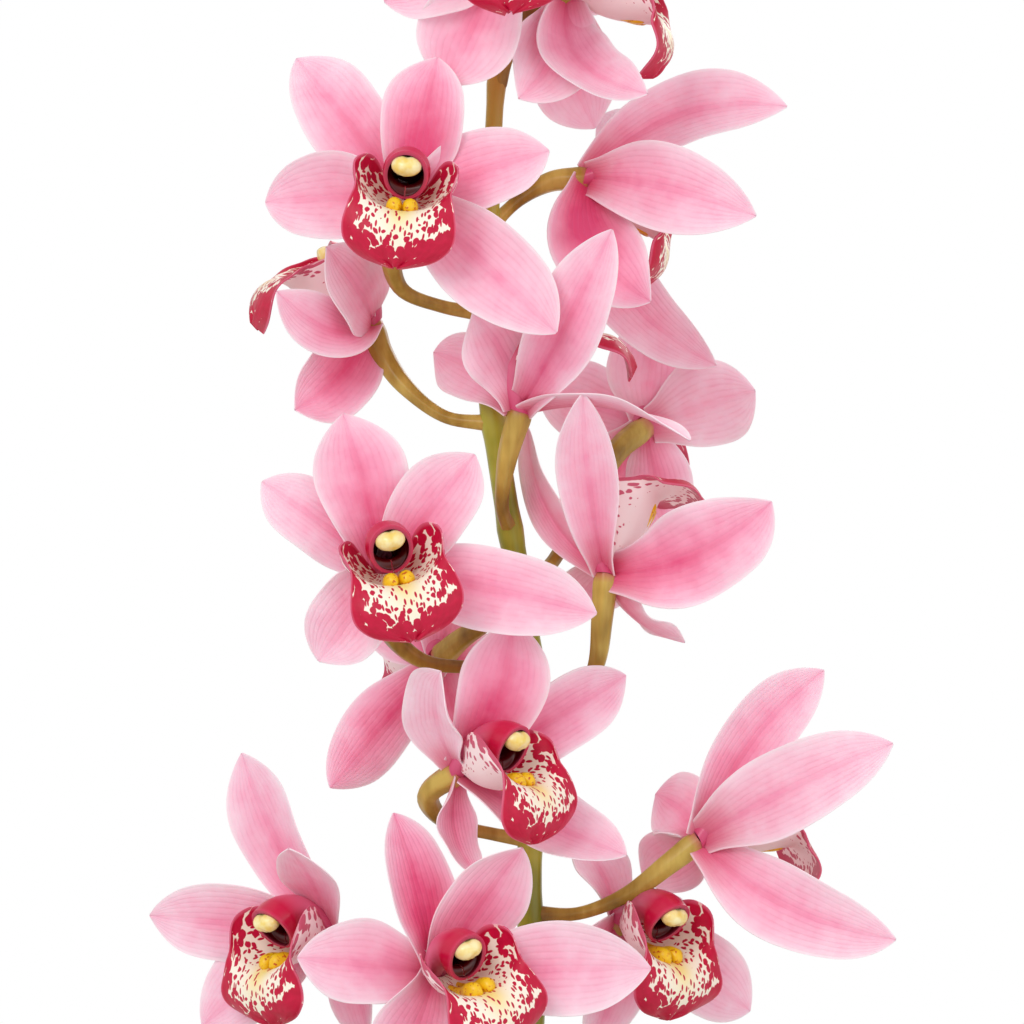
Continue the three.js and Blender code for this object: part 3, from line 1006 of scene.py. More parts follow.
@dataclass(frozen=True)
class BarkFinish:
    """Composted pine bark: brown, dull and fissured, each lump its own shade."""

    dark: str = "#2a1a12"
    brown: str = "#6a4329"
    tan: str = "#a3754b"
    lump_mm: float = 11.0

    def build(self) -> bpy.types.Material:
        """Make the material.

        Returns:
            The material.
        """
        material, shader = new_surface("pine_bark", {"Roughness": 0.9, "IOR": 1.4})
        tree = material.node_tree
        place = add_node(tree, "ShaderNodeTexCoord")
        lump = add_node(
            tree, "ShaderNodeTexVoronoi", {"Scale": 1 / (self.lump_mm * MM)}, {"Vector": place.outputs["Object"]}
        )
        grain = add_node(
            tree,
            "ShaderNodeTexNoise",
            {"Scale": 1 / (2.2 * MM), "Detail": 5.0, "Roughness": 0.65},
            {"Vector": place.outputs["Object"]},
        )
        shade = add_node(
            tree,
            "ShaderNodeMath",
            {"operation": "MULTIPLY_ADD", 1: 0.45},
            {0: lump.outputs["Color"], 2: grain.outputs["Fac"]},
        )
        ramp = add_node(
            tree,
            "ShaderNodeValToRGB",
            {"stops": [(0.4, self.dark), (0.7, self.brown), (1.0, self.tan)]},
            {"Fac": shade.outputs[0]},
        )
        tree.links.new(ramp.outputs["Color"], shader.inputs["Base Color"])
        relief = add_node(
            tree, "ShaderNodeBump", {"Strength": 0.8, "Distance": 0.001}, {"Height": grain.outputs["Fac"]}
        )
        tree.links.new(relief.outputs["Normal"], shader.inputs["Normal"])
        return material


@dataclass(frozen=True)
class GlazeFinish:
    """White stoneware glaze: glossy and a little uneven, with fine iron specks."""

    glaze: str = "#f0ece3"
    warm: str = "#ebe5d9"
    speck: str = "#8f7d68"
    speck_mm: float = 5.5

    def build(self) -> bpy.types.Material:
        """Make the material.

        Returns:
            The material.
        """
        material, shader = new_surface(
            "stoneware_glaze", {"Roughness": 0.18, "IOR": 1.5, "Coat Weight": 0.25, "Coat Roughness": 0.06}
        )
        tree = material.node_tree
        place = add_node(tree, "ShaderNodeTexCoord")
        cloud = add_node(
            tree, "ShaderNodeTexNoise", {"Scale": 1 / (45 * MM), "Detail": 3.0}, {"Vector": place.outputs["Object"]}
        )
        body = add_node(
            tree,
            "ShaderNodeValToRGB",
            {"stops": [(0.35, self.warm), (0.65, self.glaze)]},
            {"Fac": cloud.outputs["Fac"]},
        )
        specks = add_node(
            tree, "ShaderNodeTexVoronoi", {"Scale": 1 / (self.speck_mm * MM)}, {"Vector": place.outputs["Object"]}
        )
        # A speck is about half a millimetre across in its cell.
        spot = add_node(
            tree,
            "ShaderNodeMapRange",
            {"From Min": 0.055, "From Max": 0.1, "To Min": 0.7, "To Max": 0.0},
            {"Value": specks.outputs["Distance"]},
        )
        flecked = add_node(
            tree,
            "ShaderNodeMix",
            {"data_type": "RGBA", 7: linear(self.speck)},
            {0: spot.outputs[0], 6: body.outputs["Color"]},
        )
        tree.links.new(flecked.outputs[2], shader.inputs["Base Color"])
        # The glaze pools in soft waves a centimetre or two long, which bend its reflections.
        wave = add_node(
            tree, "ShaderNodeTexNoise", {"Scale": 1 / (16 * MM), "Detail": 1.0}, {"Vector": place.outputs["Object"]}
        )
        relief = add_node(
            tree, "ShaderNodeBump", {"Strength": 0.12, "Distance": 0.001}, {"Height": wave.outputs["Fac"]}
        )
        tree.links.new(relief.outputs["Normal"], shader.inputs["Normal"])
        return material


# ------------------------------------------------------------------ one flower


@dataclass(frozen=True)
class Tepal:
    """One sepal or petal: where its tip lies from the heart, its width, and how it bows and rolls."""

    tip: tuple[float, float, float]
    width: float
    bend: float = 3.0
    roll: float = 0.5
    ruffle: float = 0.05
    blush: float = 0.45
    twist: float = 0.0
    front: tuple[float, float, float] | None = None

    OUTLINE = (
        (0.0, 0.42), (0.1, 0.54), (0.22, 0.74), (0.38, 0.94), (0.55, 1.0), (0.7, 0.94),
        (0.82, 0.77), (0.91, 0.5), (0.97, 0.22), (1.0, 0.03),
    )
    BASE = 1.2
    THICKNESS = 1.1
    ROWS = 36
    COLUMNS = 17

    def spine(self, heart: np.ndarray, forward: np.ndarray, shares: np.ndarray) -> np.ndarray:
        """Give the midrib's points from the heart to the tip.

        Args:
            heart: The flower's heart.
            forward: The way the flower faces.
            shares: The places along the midrib, from 0 to 1.

        Returns:
            One point to each share.
        """
        reach = np.array(self.tip, float)
        start = heart + unit(reach) * self.BASE
        end = heart + reach
        bow = unit(forward - reach * forward.dot(reach) / reach.dot(reach))
        return bezier([start, (start + end) / 2 + bow * 2 * self.bend, end], shares)

    def shell(self, heart: np.ndarray, forward: np.ndarray, rng: random.Random) -> tuple[Shell, dict]:
        """Shape the tepal and give what its material reads.

        Args:
            heart: The flower's heart.
            forward: The way the flower faces.
            rng: The flower's own random numbers.

        Returns:
            The sheet and the values over its grid.
        """
        v = np.linspace(0, 1, self.ROWS)
        # Rows crowd towards the tip, where the outline turns fastest.
        v = 1 - (1 - v) ** 1.25
        u = np.linspace(-1, 1, self.COLUMNS)
        spine = self.spine(heart, forward, v)
        along = directions(spine)
        facing = forward if self.front is None else unit(self.front)
        normal = facing[None, :] - along * (along @ facing)[:, None]
        normal /= np.linalg.norm(normal, axis=1, keepdims=True)
        side = np.cross(normal, along)
        turn = math.radians(self.twist + rng.uniform(-9, 9)) * v
        side, normal = (
            side * np.cos(turn)[:, None] + normal * np.sin(turn)[:, None],
            normal * np.cos(turn)[:, None] - side * np.sin(turn)[:, None],
        )
        half = np.maximum(read_curve(self.OUTLINE, v), 0.03) * self.width / 2
        roll = self.roll * rng.uniform(0.7, 1.3) * (0.75 + 0.5 * bump_at(0.1, 0.25, v))
        # No two margins are alike: each side swells and narrows on its own.
        sway = [0.055 * np.sin(2 * math.pi * (rng.uniform(0.9, 1.5) * v + rng.random())) for _ in range(2)]
        uneven = 1 + np.where(u[None, :] < 0, sway[0][:, None], sway[1][:, None])
        angle = roll[:, None] * u[None, :]
        across = uneven * half[:, None] * np.sin(angle) / roll[:, None]
        lift = half[:, None] * (1 - np.cos(angle)) / roll[:, None]
        phase = rng.uniform(0, 6.28)
        tilt = rng.uniform(0.6, 1.0)
        wave = np.sin(2 * math.pi * (1.6 * v[:, None] + 0.12 * u[None, :]) + phase + (u[None, :] > 0) * 2.1)
        reach = self.ruffle * self.width * tilt * np.abs(u[None, :]) ** 2.4
        lift = lift + reach * wave * np.sin(math.pi * v)[:, None] ** 0.6
        # A shallow channel runs down the midrib.
        lift = lift - 0.45 * bump_at(0, 0.09, u)[None, :] * (1 - 0.6 * v)[:, None]
        points = spine[:, None, :] + side[:, None, :] * across[:, :, None] + normal[:, None, :] * lift[:, :, None]
        thick = self.THICKNESS * (1 - 0.45 * v)[:, None] * (1 - 0.62 * np.abs(u[None, :]) ** 3)
        rib = bump_at(0, 0.16, u)[None, :]
        heat = self.blush * rng.uniform(0.8, 1.25) * (0.3 + 0.7 * bump_at(0.3, 0.45, v)[:, None])
        blush = heat * (1.25 - 0.7 * np.abs(u[None, :]) ** 1.3)
        blush = blush + 0.2 * rib * (1 - 0.35 * v[:, None])
        margin = np.clip(
            smoothstep(0.86, 1.0, np.abs(u))[None, :] * 0.55 + 0.25 * smoothstep(0.4, 0.95, np.abs(u))[None, :], 0, 1
        ) * np.ones_like(blush)
        root = smoothstep(0.32, 0.0, v)[:, None] * 0.85 * np.ones_like(blush)
        values = {"blush": np.clip(blush, 0, 1), "rim": margin, "root": root}
        return Shell(points, thick), values


@dataclass(frozen=True)
class Axes:
    """A flower's heart and its forward, upward and sideways directions."""

    heart: np.ndarray
    forward: np.ndarray
    above: np.ndarray
    side: np.ndarray

    def place(self, ahead: Any, lift: Any, across: Any) -> np.ndarray:
        """Turn sizes in the flower's own directions into points.

        Args:
            ahead: How far the points lie ahead of the heart.
            lift: How far above it.
            across: How far to its side.

        Returns:
            The points.
        """
        ahead, lift, across = np.broadcast_arrays(ahead, lift, across)
        return (
            self.heart
            + ahead[..., None] * self.forward
            + lift[..., None] * self.above
            + across[..., None] * self.side
        )


@dataclass(frozen=True)
class Lip:
    """The lip: a trough with two standing side lobes and a hooked, frilled front lobe."""

    # Share of the length: forward, up, half-width, how high the sides stand, how far they close in.
    STATIONS = (
        (0.0, 4.0, -1.6, 3.0, 1.5, 90),
        (0.1, 8.0, -5.0, 6.0, 8.0, 100),
        (0.22, 13.5, -7.4, 10.2, 15.0, 112),
        (0.35, 19.5, -8.6, 13.6, 17.0, 106),
        (0.46, 24.5, -9.2, 15.4, 14.5, 94),
        (0.55, 28.0, -10.0, 14.2, 7.5, 82),
        (0.64, 30.8, -12.4, 15.8, 3.6, 64),
        (0.74, 31.6, -16.4, 16.8, 1.2, 54),
        (0.84, 30.4, -20.4, 15.0, 0.4, 48),
        (0.93, 27.8, -23.6, 9.6, 0.0, 44),
        (1.0, 25.4, -25.6, 1.4, 0.0, 40),
    )
    THICKNESS = 1.1
    ROWS = 56
    COLUMNS = 37
    FRILL = 1.3

    def shell(self, axes: Axes, rng: random.Random) -> tuple[Shell, dict]:
        """Shape the lip and give what its material reads.

        Args:
            axes: The flower's axes.
            rng: The flower's own random numbers.

        Returns:
            The sheet and the values over its grid.
        """
        v = np.linspace(0, 1, self.ROWS)
        u = np.linspace(-1, 1, self.COLUMNS)
        ahead, up, half, rise, close = read_curve(self.STATIONS, v).T
        half = np.maximum(half, 0.8)
        sweep = np.radians(close)[:, None] * np.abs(u)[None, :]
        full = np.radians(close)[:, None]
        across = np.sign(u)[None, :] * half[:, None] * np.sin(sweep) / np.sin(np.minimum(full, math.pi / 2))
        stand = rise[:, None] * (1 - np.cos(sweep)) / (1 - np.cos(full))
        lobe = smoothstep(0.56, 0.68, v)[:, None]
        size = np.abs(u)[None, :]
        # The front lobe's margin falls back and frills; its middle stands proud.
        back = lobe * (2.6 * size**2.2)
        phase = rng.uniform(0, 6.28)
        turn = np.arctan2((u[None, :] * 1.15) * np.ones_like(lobe), (v[:, None] - 0.55) * 2.2)
        frill = self.FRILL * np.sin(9 * turn + phase) * np.clip(
            np.maximum(size**4, smoothstep(0.82, 1, v)[:, None]),
            0,
            1,
        )
        forward = ahead[:, None] - back + lobe * frill
        height = up[:, None] + stand + (1 - lobe) * 0.5 * frill
        points = axes.place(forward, height, across)
        thick = self.THICKNESS * (1 - 0.55 * size**3) * np.ones_like(lobe)
        widening = 0.86 + 0.14 * smoothstep(0.3, 0.52, v)[:, None]
        ending = smoothstep(0.56, 1.0, v)[:, None]
        rim = np.sqrt((size * widening) ** 2 * 0.95 + ending**2)
        edge = smoothstep(0.96, 1.0, size) * 0.6 * np.ones_like(rim)
        centre = bump_at(0, 0.2, u)[None, :] * bump_at(0.55, 0.16, v)[:, None]
        values = {"rim": np.clip(rim, 0, 1), "edge": edge, "centre": centre}
        return Shell(points, thick), values

    def keel_points(self, axes: Axes, hand: int) -> np.ndarray:
        """Shape one keel on the lip's floor.

        Args:
            axes: The flower's axes.
            hand: -1 for the keel left of the middle, 1 for the right.

        Returns:
            The keel's points, ring by ring.
        """
        v = np.linspace(0.12, 0.5, 18)
        ahead, up = read_curve(self.STATIONS, v).T[:2]
        swell = read_curve(((0.12, 0.35), (0.3, 0.8), (0.42, 1.25), (0.47, 1.05), (0.5, 0.25)), v)
        path = axes.place(ahead, up + 0.5 + 1.1 * swell, hand * (1.1 + 1.0 * swell))
        return Tube(path, 1.95 * swell, sides=14, front=tuple(axes.above), squash=1.15).points()


@dataclass(frozen=True)
class Column:
    """The column: an arched hood over the lip, hollow beneath, with an anther cap at its tip."""

    LENGTH = 26.5
    HALF_WIDTH = 6.4
    TOP = 6.2
    LIFT = 2.6
    ARCH = 5.0
    ROWS = 24
    COLUMNS = 41
    OPENING = 178.0
    THICKNESS = 1.3
    MOUTH_SLOPE = 8.5

    def shell(self, axes: Axes) -> tuple[Shell, dict]:
        """Shape the hood and give what its material reads.

        Args:
            axes: The flower's axes.

        Returns:
            The sheet and the values over its grid.
        """
        v = np.linspace(0, 1, self.ROWS)
        u = np.linspace(-1, 1, self.COLUMNS)
        ahead = self.LENGTH * v
        lift = self.LIFT * v + self.ARCH * np.sin(math.pi * v**0.9)
        swell = read_curve(((0, 0.5), (0.3, 0.66), (0.6, 0.86), (0.85, 1.0), (1.0, 0.94)), v)
        angle = math.radians(self.OPENING) * u[None, :]
        across = self.HALF_WIDTH * swell[:, None] * np.sin(angle)
        height = self.TOP * swell[:, None] * np.cos(angle)
        # The mouth slopes back to its floor, so its top overhangs the dark hollow.
        slope = self.MOUTH_SLOPE * smoothstep(0.6, 1.0, v)[:, None] * (1 - np.cos(angle)) / 2
        points = axes.place(ahead[:, None] - slope, lift[:, None] + height, across)
        thick = self.THICKNESS * (1 - 0.5 * np.abs(u[None, :]) ** 4) * np.ones((self.ROWS, 1))
        share = np.repeat(v[:, None], self.COLUMNS, 1)
        edge = smoothstep(0.97, 1, share) * 0.45
        return Shell(points, thick), {"share": share, "edge": edge}

    def cap_points(self, axes: Axes) -> np.ndarray:
        """Shape the anther cap: a plump two-lobed lid with a small beak.

        Args:
            axes: The flower's axes.

        Returns:
            The cap's points, ring by ring.
        """
        rows, columns = 14, 22
        lift = self.LIFT + 2.4
        rise = np.linspace(-1, 1, rows)[:, None] * 0.985
        turn = np.linspace(0, 2 * math.pi, columns, endpoint=False)[None, :]
        radius = np.sqrt(1 - rise**2)
        ahead = radius * np.cos(turn)
        across = radius * np.sin(turn)
        groove = 1 - 0.16 * bump_at(0, 0.22, across) * (ahead > 0)
        beak = 1 + 0.22 * bump_at(0, 0.3, across) * bump_at(-0.35, 0.35, rise) * (ahead > 0)
        return axes.place(
            self.LENGTH - 2.4 + 3.6 * ahead * groove * beak, lift + 3.1 * rise * groove, 4.5 * across
        )


@dataclass(frozen=True)
class Flower:
    """One flower: its heart, the way it faces, its stalk's route and its five tepals."""

    name: str
    heart: tuple[float, float, float]
    faces: tuple[float, float, float]
    up: tuple[float, float, float]
    stalk: tuple
    tepals: tuple[Tepal, ...]

    PARTS = ("dorsal_sepal", "petal_a", "petal_b", "lateral_sepal_a", "lateral_sepal_b")
    STALK_RADII = ((0, 2.7), (0.12, 2.2), (0.45, 2.3), (0.62, 2.9), (0.85, 3.5), (0.95, 3.7), (1, 3.3))

    def axes(self) -> Axes:
        """Square the flower's directions.

        Returns:
            Its axes.
        """
        forward = unit(self.faces)
        above = np.array(self.up, float)
        above = unit(above - forward * above.dot(forward))
        return Axes(np.array(self.heart, float), forward, above, np.cross(above, forward))

    def build(self, finishes: "Finishes") -> list[bpy.types.Object]:
        """Make the flower's pieces.

        Args:
            finishes: The plant's materials.

        Returns:
            Its pieces, settled on the plant.
        """
        axes = self.axes()
        rng = random.Random(int(self.name) * 101)
        cad = f"flower_{self.name}"
        pieces = []
        for part, tepal in zip(self.PARTS, self.tepals):
            shell, values = tepal.shell(axes.heart, axes.forward, rng)
            piece = shell.build(f"{part}_{self.name}", finishes.tepal, values)
            pieces.append(settle(piece, Slot.TEPAL, cad))
        lip = Lip()
        shell, values = lip.shell(axes, rng)
        petal = shell.build(f"lip_petal_{self.name}", finishes.lip, values)
        pieces.append(settle(petal, Slot.LIP, f"lip_{self.name}"))
        keels = [lip.keel_points(axes, hand) for hand in (-1, 1)]
        pieces.append(settle(self.rings("keels", keels, finishes.keel), Slot.LIP))
        column = Column()
        shell, values = column.shell(axes)
        pieces.append(settle(shell.build(f"column_{self.name}", finishes.column, values), Slot.LIP, cad))
        pieces.append(settle(self.rings("anther_cap", [column.cap_points(axes)], finishes.cap), Slot.LIP))
        pieces.append(settle(self.stalk_piece(axes, finishes.pedicel), Slot.STEM, cad))
        return pieces

    def rings(self, part: str, groups: list[np.ndarray], material: bpy.types.Material) -> bpy.types.Object:
        """Make one piece of this flower from one or more capped tubes.

        Args:
            part: The piece's name.
            groups: Each tube's points, ring by ring.
            material: Its finish.

        Returns:
            The piece.
        """
        points, faces = [], []
        for group in groups:
            faces += ring_faces(group.shape[0], group.shape[1], sum(len(p) for p in points))
            points.append(group.reshape(-1, 3))
        piece = make_piece(f"{part}_{self.name}", np.concatenate(points), faces, material)
        face_out(piece)
        return piece

    def stalk_piece(self, axes: Axes, material: bpy.types.Material) -> bpy.types.Object:
        """Make the stalk and its ribbed ovary, up to the heart.

        Args:
            axes: The flower's axes.
            material: Its finish.

        Returns:
            The stalk.
        """
        route = [*self.stalk, tuple(axes.heart + axes.forward * 0.8)]
        path = path_through(route, 34)
        radii = read_curve(self.STALK_RADII, np.linspace(0, 1, len(path)))
        piece = Tube(path, radii, sides=24, ribs=6, rib_depth=0.05).build(f"pedicel_{self.name}", material)
        face_out(piece)
        return piece


def face_out(piece: bpy.types.Object) -> None:
    """Turn every face of a closed piece outward.

    Args:
        piece: The piece.
    """
    mesh = piece.data
    volume = 0.0
    points = np.array([v.co for v in mesh.vertices])
    for face in mesh.polygons:
        ring = [points[i] for i in face.vertices]
        for a, b in zip(ring[1:], ring[2:]):
            volume += float(np.dot(ring[0], np.cross(a, b)))
    if volume < 0:
        mesh.flip_normals()
        mesh.update()


# The flowers, numbered from the top of the spike down, with the last one above the rest.
FLOWERS = (
    Flower(
        "01", (-2, -18, 788), (0.06, -0.96, 0.27), (0, 0.27, 0.96),
        stalk=((-1.5, 0.5, 776), (-9, 3, 783), (-8, -6, 790)),
        tepals=(
            Tepal((-22, -8, 38), 24),
            Tepal((-36, -4, -13), 25, blush=0.3, front=(-0.2, -1, 0.1)),
            Tepal((34, 2, 26), 24),
            Tepal((-18, -6, -38), 31, bend=2, blush=0.45, front=(0, -1, 0.1)),
            Tepal((30, 12, 10), 24),
        ),
    ),
    Flower(
        "02", (16, -3, 779), (0.97, -0.15, 0), (0.1, 0, 1),
        stalk=((-4, 0, 752), (0, -5, 763), (6, -5, 773)),
        tepals=(
            Tepal((10, 18, 41), 24),
            Tepal((-14, -23, -33), 26, bend=5, front=(0.05, -1, 0.15)),
            Tepal((10, 38, 12), 24),
            Tepal((24, -30, -32), 24, bend=-10, blush=0.6, front=(0.3, -0.9, 0.3)),
            Tepal((9, 12, -40), 28, bend=-3, blush=0.3, front=(0.1, -1, 0.2)),
        ),
    ),
    Flower(
        "03", (22.2, 8, 724), (0.9, -0.1, -0.35), (0.35, 0, 0.93),
        stalk=((-6.5, 0, 709), (3, 6, 718), (12, 9, 723)),
        tepals=(
            Tepal((61, 10, 22), 24, bend=-9, blush=0.35, front=(0, -1, 0.35)),
            Tepal((50, -38, -13), 26, bend=-8, blush=0.35, front=(0.1, -1, 0)),
            Tepal((4, 34, 20), 22, blush=0.25),
            Tepal((19, -26, -38), 27, bend=-8, blush=0.8, front=(0.2, -1, 0)),
            Tepal((40, 23, -56), 22, bend=-12, blush=0.45, front=(0.1, -1, 0)),
        ),
    ),
    Flower(
        "04", (-31, -27, 716), (-0.02, -0.97, 0.16), (0.1, 0, 1),
        stalk=((-8.5, 0, 683), (-21, -3, 685), (-33, -8, 690), (-36, -18, 702)),
        tepals=(
            Tepal((9, -2, 42), 26, bend=3, blush=0.75),
            Tepal((-33, 4, 42), 26, blush=0.45),
            Tepal((42, -8, 14), 25, blush=0.6),
            Tepal((-42, -3, -1), 29, bend=4, roll=0.8, blush=0.3),
            Tepal((44, -18, -40), 29, bend=6, roll=0.7, blush=0.4),
        ),
    ),
    Flower(
        "05", (-42, 11, 680), (-0.7, -0.15, 0.7), (0.5, 0.1, 0.5),
        stalk=((-6.8, 0, 650), (-20, 2, 652), (-32, 5, 661), (-39, 9, 671)),
        tepals=(
            Tepal((8, 14, 32), 24),
            Tepal((-13, -36, 22), 24, bend=-4, front=(0.3, -1, 0.2)),
            Tepal((-2, 40, 18), 24),
            Tepal((-23, -14, -26), 25, bend=-3, roll=0.9, blush=0.6, front=(0.5, -0.9, 0.2)),
            Tepal((-28, -30, 9), 20, bend=-9, blush=0.4, front=(-0.1, -1, 0.3)),
        ),
    ),
    Flower(
        "06", (2.4, -14, 653.4), (0.42, -0.05, 0.9), (-0.9, 0, 0.42),
        stalk=((-0.5, 0, 618), (-3, -9, 625), (-1.5, -13, 639)),
        tepals=(
            Tepal((27, -32, 53), 22, bend=-8, blush=0.5, front=(-0.1, -1, 0.1)),
            Tepal((-14, -13, 29), 25, ruffle=0.1, blush=0.4, front=(0.2, -1, 0)),
            Tepal((10, 40, 28), 22),
            Tepal((50, -30, -9), 23, bend=6, blush=0.6),
            Tepal((-26, 22, 18), 22, blush=0.3, front=(0, -1, 0)),
        ),
    ),
    Flower(
        "07", (41, 36, 649.5), (-0.1, 0.98, 0.1), (0, 0, 1),
        stalk=((0, 0, 604), (10, 9, 606), (21, 19, 624), (32, 29, 642)),
        tepals=(
            Tepal((4, 4, 34), 27, blush=0.15),
            Tepal((33, -4, 11), 28, blush=0.12),
            Tepal((-34, 16, 14), 24, blush=0.3),
            Tepal((8, 8, -36), 22),
            Tepal((-22, 10, -34), 24),
        ),
    ),
    Flower(
        "08", (27.9, -6, 604.5), (0.25, 0.25, 0.93), (-0.9, 0.1, 0.3),
        stalk=((6, 0, 556), (17, -3, 562), (25, -5, 577), (27, -6, 592)),
        tepals=(
            Tepal((-7, -29, 54), 20, bend=-3, roll=1.0, twist=12, blush=0.4, front=(-0.2, -1, -0.2)),
            Tepal((-23, 9, 44), 15, bend=-6, front=(-0.85, -0.5, 0.2)),
            Tepal((-8, 42, -14), 22),
            Tepal((49, -20, 22), 29, bend=-6, ruffle=0.1, blush=0.5, front=(0.2, -1, 0.1)),
            Tepal((24, 8, -20), 16, bend=-4, ruffle=0.12),
        ),
    ),
    Flower(
        "09", (-38, -27, 605.4), (0.14, -0.96, 0.2), (-0.2, 0, 1),
        stalk=((5, 0, 578), (-10, -4, 577), (-27, -8, 579), (-37, -16, 589)),
        tepals=(
            Tepal((-12, -4, 47), 28, blush=0.6),
            Tepal((27, -8, 35), 25, blush=0.4),
            Tepal((-36, -4, 27), 23, blush=0.25),
            Tepal((63, -9, -12), 26, bend=5, blush=0.5),
            Tepal((-19, -12, -26), 26, bend=5, roll=0.9, ruffle=0.14, blush=0.25),
        ),
    ),
    Flower(
        "10", (-22, 20, 579), (-0.1, 0.99, 0), (0, 0, 1),
        stalk=((5.2, 0, 592), (-4, 8, 591), (-14, 14, 586)),
        tepals=(
            Tepal((6, 6, 32), 22),
            Tepal((-24, 10, 20), 22),
            Tepal((30, 14, -6), 22),
            Tepal((-33, -2, -39), 22, bend=4, blush=0.55),
            Tepal((10, 14, -38), 22),
        ),
    ),
    Flower(
        "11", (-16, -22, 546.6), (0.74, -0.62, 0.18), (0, 0, 1),
        stalk=((5.4, 0, 525), (-6, -3, 527), (-20, -7, 531), (-25, -15, 539)),
        tepals=(
            Tepal((16, -8, 45), 27, bend=5, blush=0.85, front=(0.3, -1, 0.1)),
            Tepal((50, 15, 28), 24, blush=0.6),
            Tepal((-5, -28, 30), 23, bend=-4, roll=0.9, blush=0.15, front=(-0.6, -0.9, 0)),
            Tepal((50, -4, -25), 27, bend=-3, blush=0.4),
            Tepal((6, -6, -31), 16, bend=-6, ruffle=0.12, blush=0.4),
        ),
    ),
    Flower(
        "12", (-54.6, -14, 499.5), (-0.72, -0.68, -0.1), (-0.1, 0, 1),
        stalk=((5.5, 0, 474), (-18, 3, 473), (-40, 2, 484)),
        tepals=(
            Tepal((-26, 2, 52), 27, blush=0.4),
            Tepal((-11, -32, 25), 20, bend=-2, blush=0.35, front=(-0.5, -0.9, 0.1)),
            Tepal((-54, 13, 3), 25, blush=0.3),
            Tepal((-38, 7, -30), 26, blush=0.3),
            Tepal((12, -18, -32), 24, bend=-3),
        ),
    ),
    Flower(
        "13", (-23, -30, 486.6), (0.48, -0.85, 0.16), (-0.35, 0, 1),
        stalk=((5.5, 0, 464), (-6, -5, 461), (-18, -12, 465), (-24, -22, 475)),
        tepals=(
            Tepal((-12, -6, 48), 23, blush=0.85),
            Tepal((26, -13, 38), 26, bend=-2, blush=0.6),
            Tepal((-40, -18, 6), 26, roll=0.7, blush=0.35),
            Tepal((64, -4, 2), 28, bend=4, blush=0.35),
            Tepal((-16, -22, -36), 26, blush=0.4),
        ),
    ),
    Flower(
        "14", (55.5, -4, 525), (0.93, 0.25, 0.28), (-0.3, -0.1, 0.95),
        stalk=((6, 0, 503), (20, 0, 503), (35, -1, 509), (47, -3, 518)),
        tepals=(
            Tepal((38, 2, 51), 23, bend=-5, blush=0.45, front=(0.3, -1, 0.1)),
            Tepal((57, -30, 30), 26, bend=-7, blush=0.25, front=(0.1, -1, 0.2)),
            Tepal((-12, 24, 13), 24, blush=0.5, front=(0, -1, 0)),
            Tepal((58, -28, -28), 24, bend=-7, blush=0.4, front=(0.2, -1, -0.1)),
            Tepal((-16, 30, -12), 22, blush=0.35, front=(0, -1, 0)),
        ),
    ),
    Flower(
        "15", (32, 9, 500.4), (0.66, -0.74, -0.12), (0.05, 0, 1),
        stalk=((5.5, 0, 484), (12, 6, 481), (22, 13, 486)),
        tepals=(
            Tepal((-13, 12, 24), 22, blush=0.3),
            Tepal((20, 27, -4), 21, blush=0.2),
            Tepal((-20, -22, -18), 20),
            Tepal((40, 10, -28), 26, blush=0.3),
            Tepal((-8, -4, -38), 24),
        ),
    ),
    Flower(
        "16", (4, 2, 836), (0.45, -0.6, 0.66), (-0.5, 0.2, 0.7),
        stalk=((0.1, 0, 800.6), (-1, 2, 811), (0, 5, 824)),
        tepals=(
            Tepal((-14, 12, 36), 24),
            Tepal((22, 22, 32), 22),
            Tepal((-40, 2, 10), 22),
            Tepal((40, 4, 0), 24),
            Tepal((-12, -20, -24), 22),
        ),
    ),
)


# ------------------------------------------------------------------ the plant's foot and spike


BRONZE_PEDICEL = StalkFinish(
    name="bronze_pedicel",
    shade="#7a5a1c",
    body="#a5832f",
    light="#cdb055",
    ripe="#bf5a5c",
    ripens=(0.95, 1.0),
)
OLIVE_STEM = StalkFinish(
    name="olive_stem",
    shade="#6d7012",
    body="#8f8f1e",
    light="#aeab3a",
    ripe="#b98d33",
    ripens=(0.84, 0.93),
)
STRAP_LEAF = LeafFinish(
    name="strap_leaf_skin", dark="#2c5a1c", green="#447a29", fresh="#6b9a3a", fold="#86ab52"
)
BULB_SKIN = LeafFinish(
    name="bulb_skin",
    dark="#5f7c2b",
    green="#84993c",
    fresh="#a9b458",
    fold="#93a548",
    veins_across=40,
    roughness=0.42,
)
PAPERY_SHEATH = LeafFinish(
    name="papery_sheath",
    dark="#8b7d45",
    green="#b3a464",
    fresh="#d5c996",
    fold="#c9bd84",
    veins_across=26,
    roughness=0.66,
)


@dataclass
class Finishes:
    """Every material of the plant, made once."""

    tepal: bpy.types.Material = field(default_factory=TepalFinish().build)
    lip: bpy.types.Material = field(default_factory=LipFinish().build)
    keel: bpy.types.Material = field(default_factory=KeelFinish().build)
    column: bpy.types.Material = field(default_factory=ColumnFinish().build)
    cap: bpy.types.Material = field(default_factory=CapFinish().build)
    pedicel: bpy.types.Material = field(default_factory=BRONZE_PEDICEL.build)
    stem: bpy.types.Material = field(default_factory=OLIVE_STEM.build)
    leaf: bpy.types.Material = field(default_factory=STRAP_LEAF.build)
    bulb: bpy.types.Material = field(default_factory=BULB_SKIN.build)
    sheath: bpy.types.Material = field(default_factory=PAPERY_SHEATH.build)
    bark: bpy.types.Material = field(default_factory=BarkFinish().build)
    glaze: bpy.types.Material = field(default_factory=GlazeFinish().build)


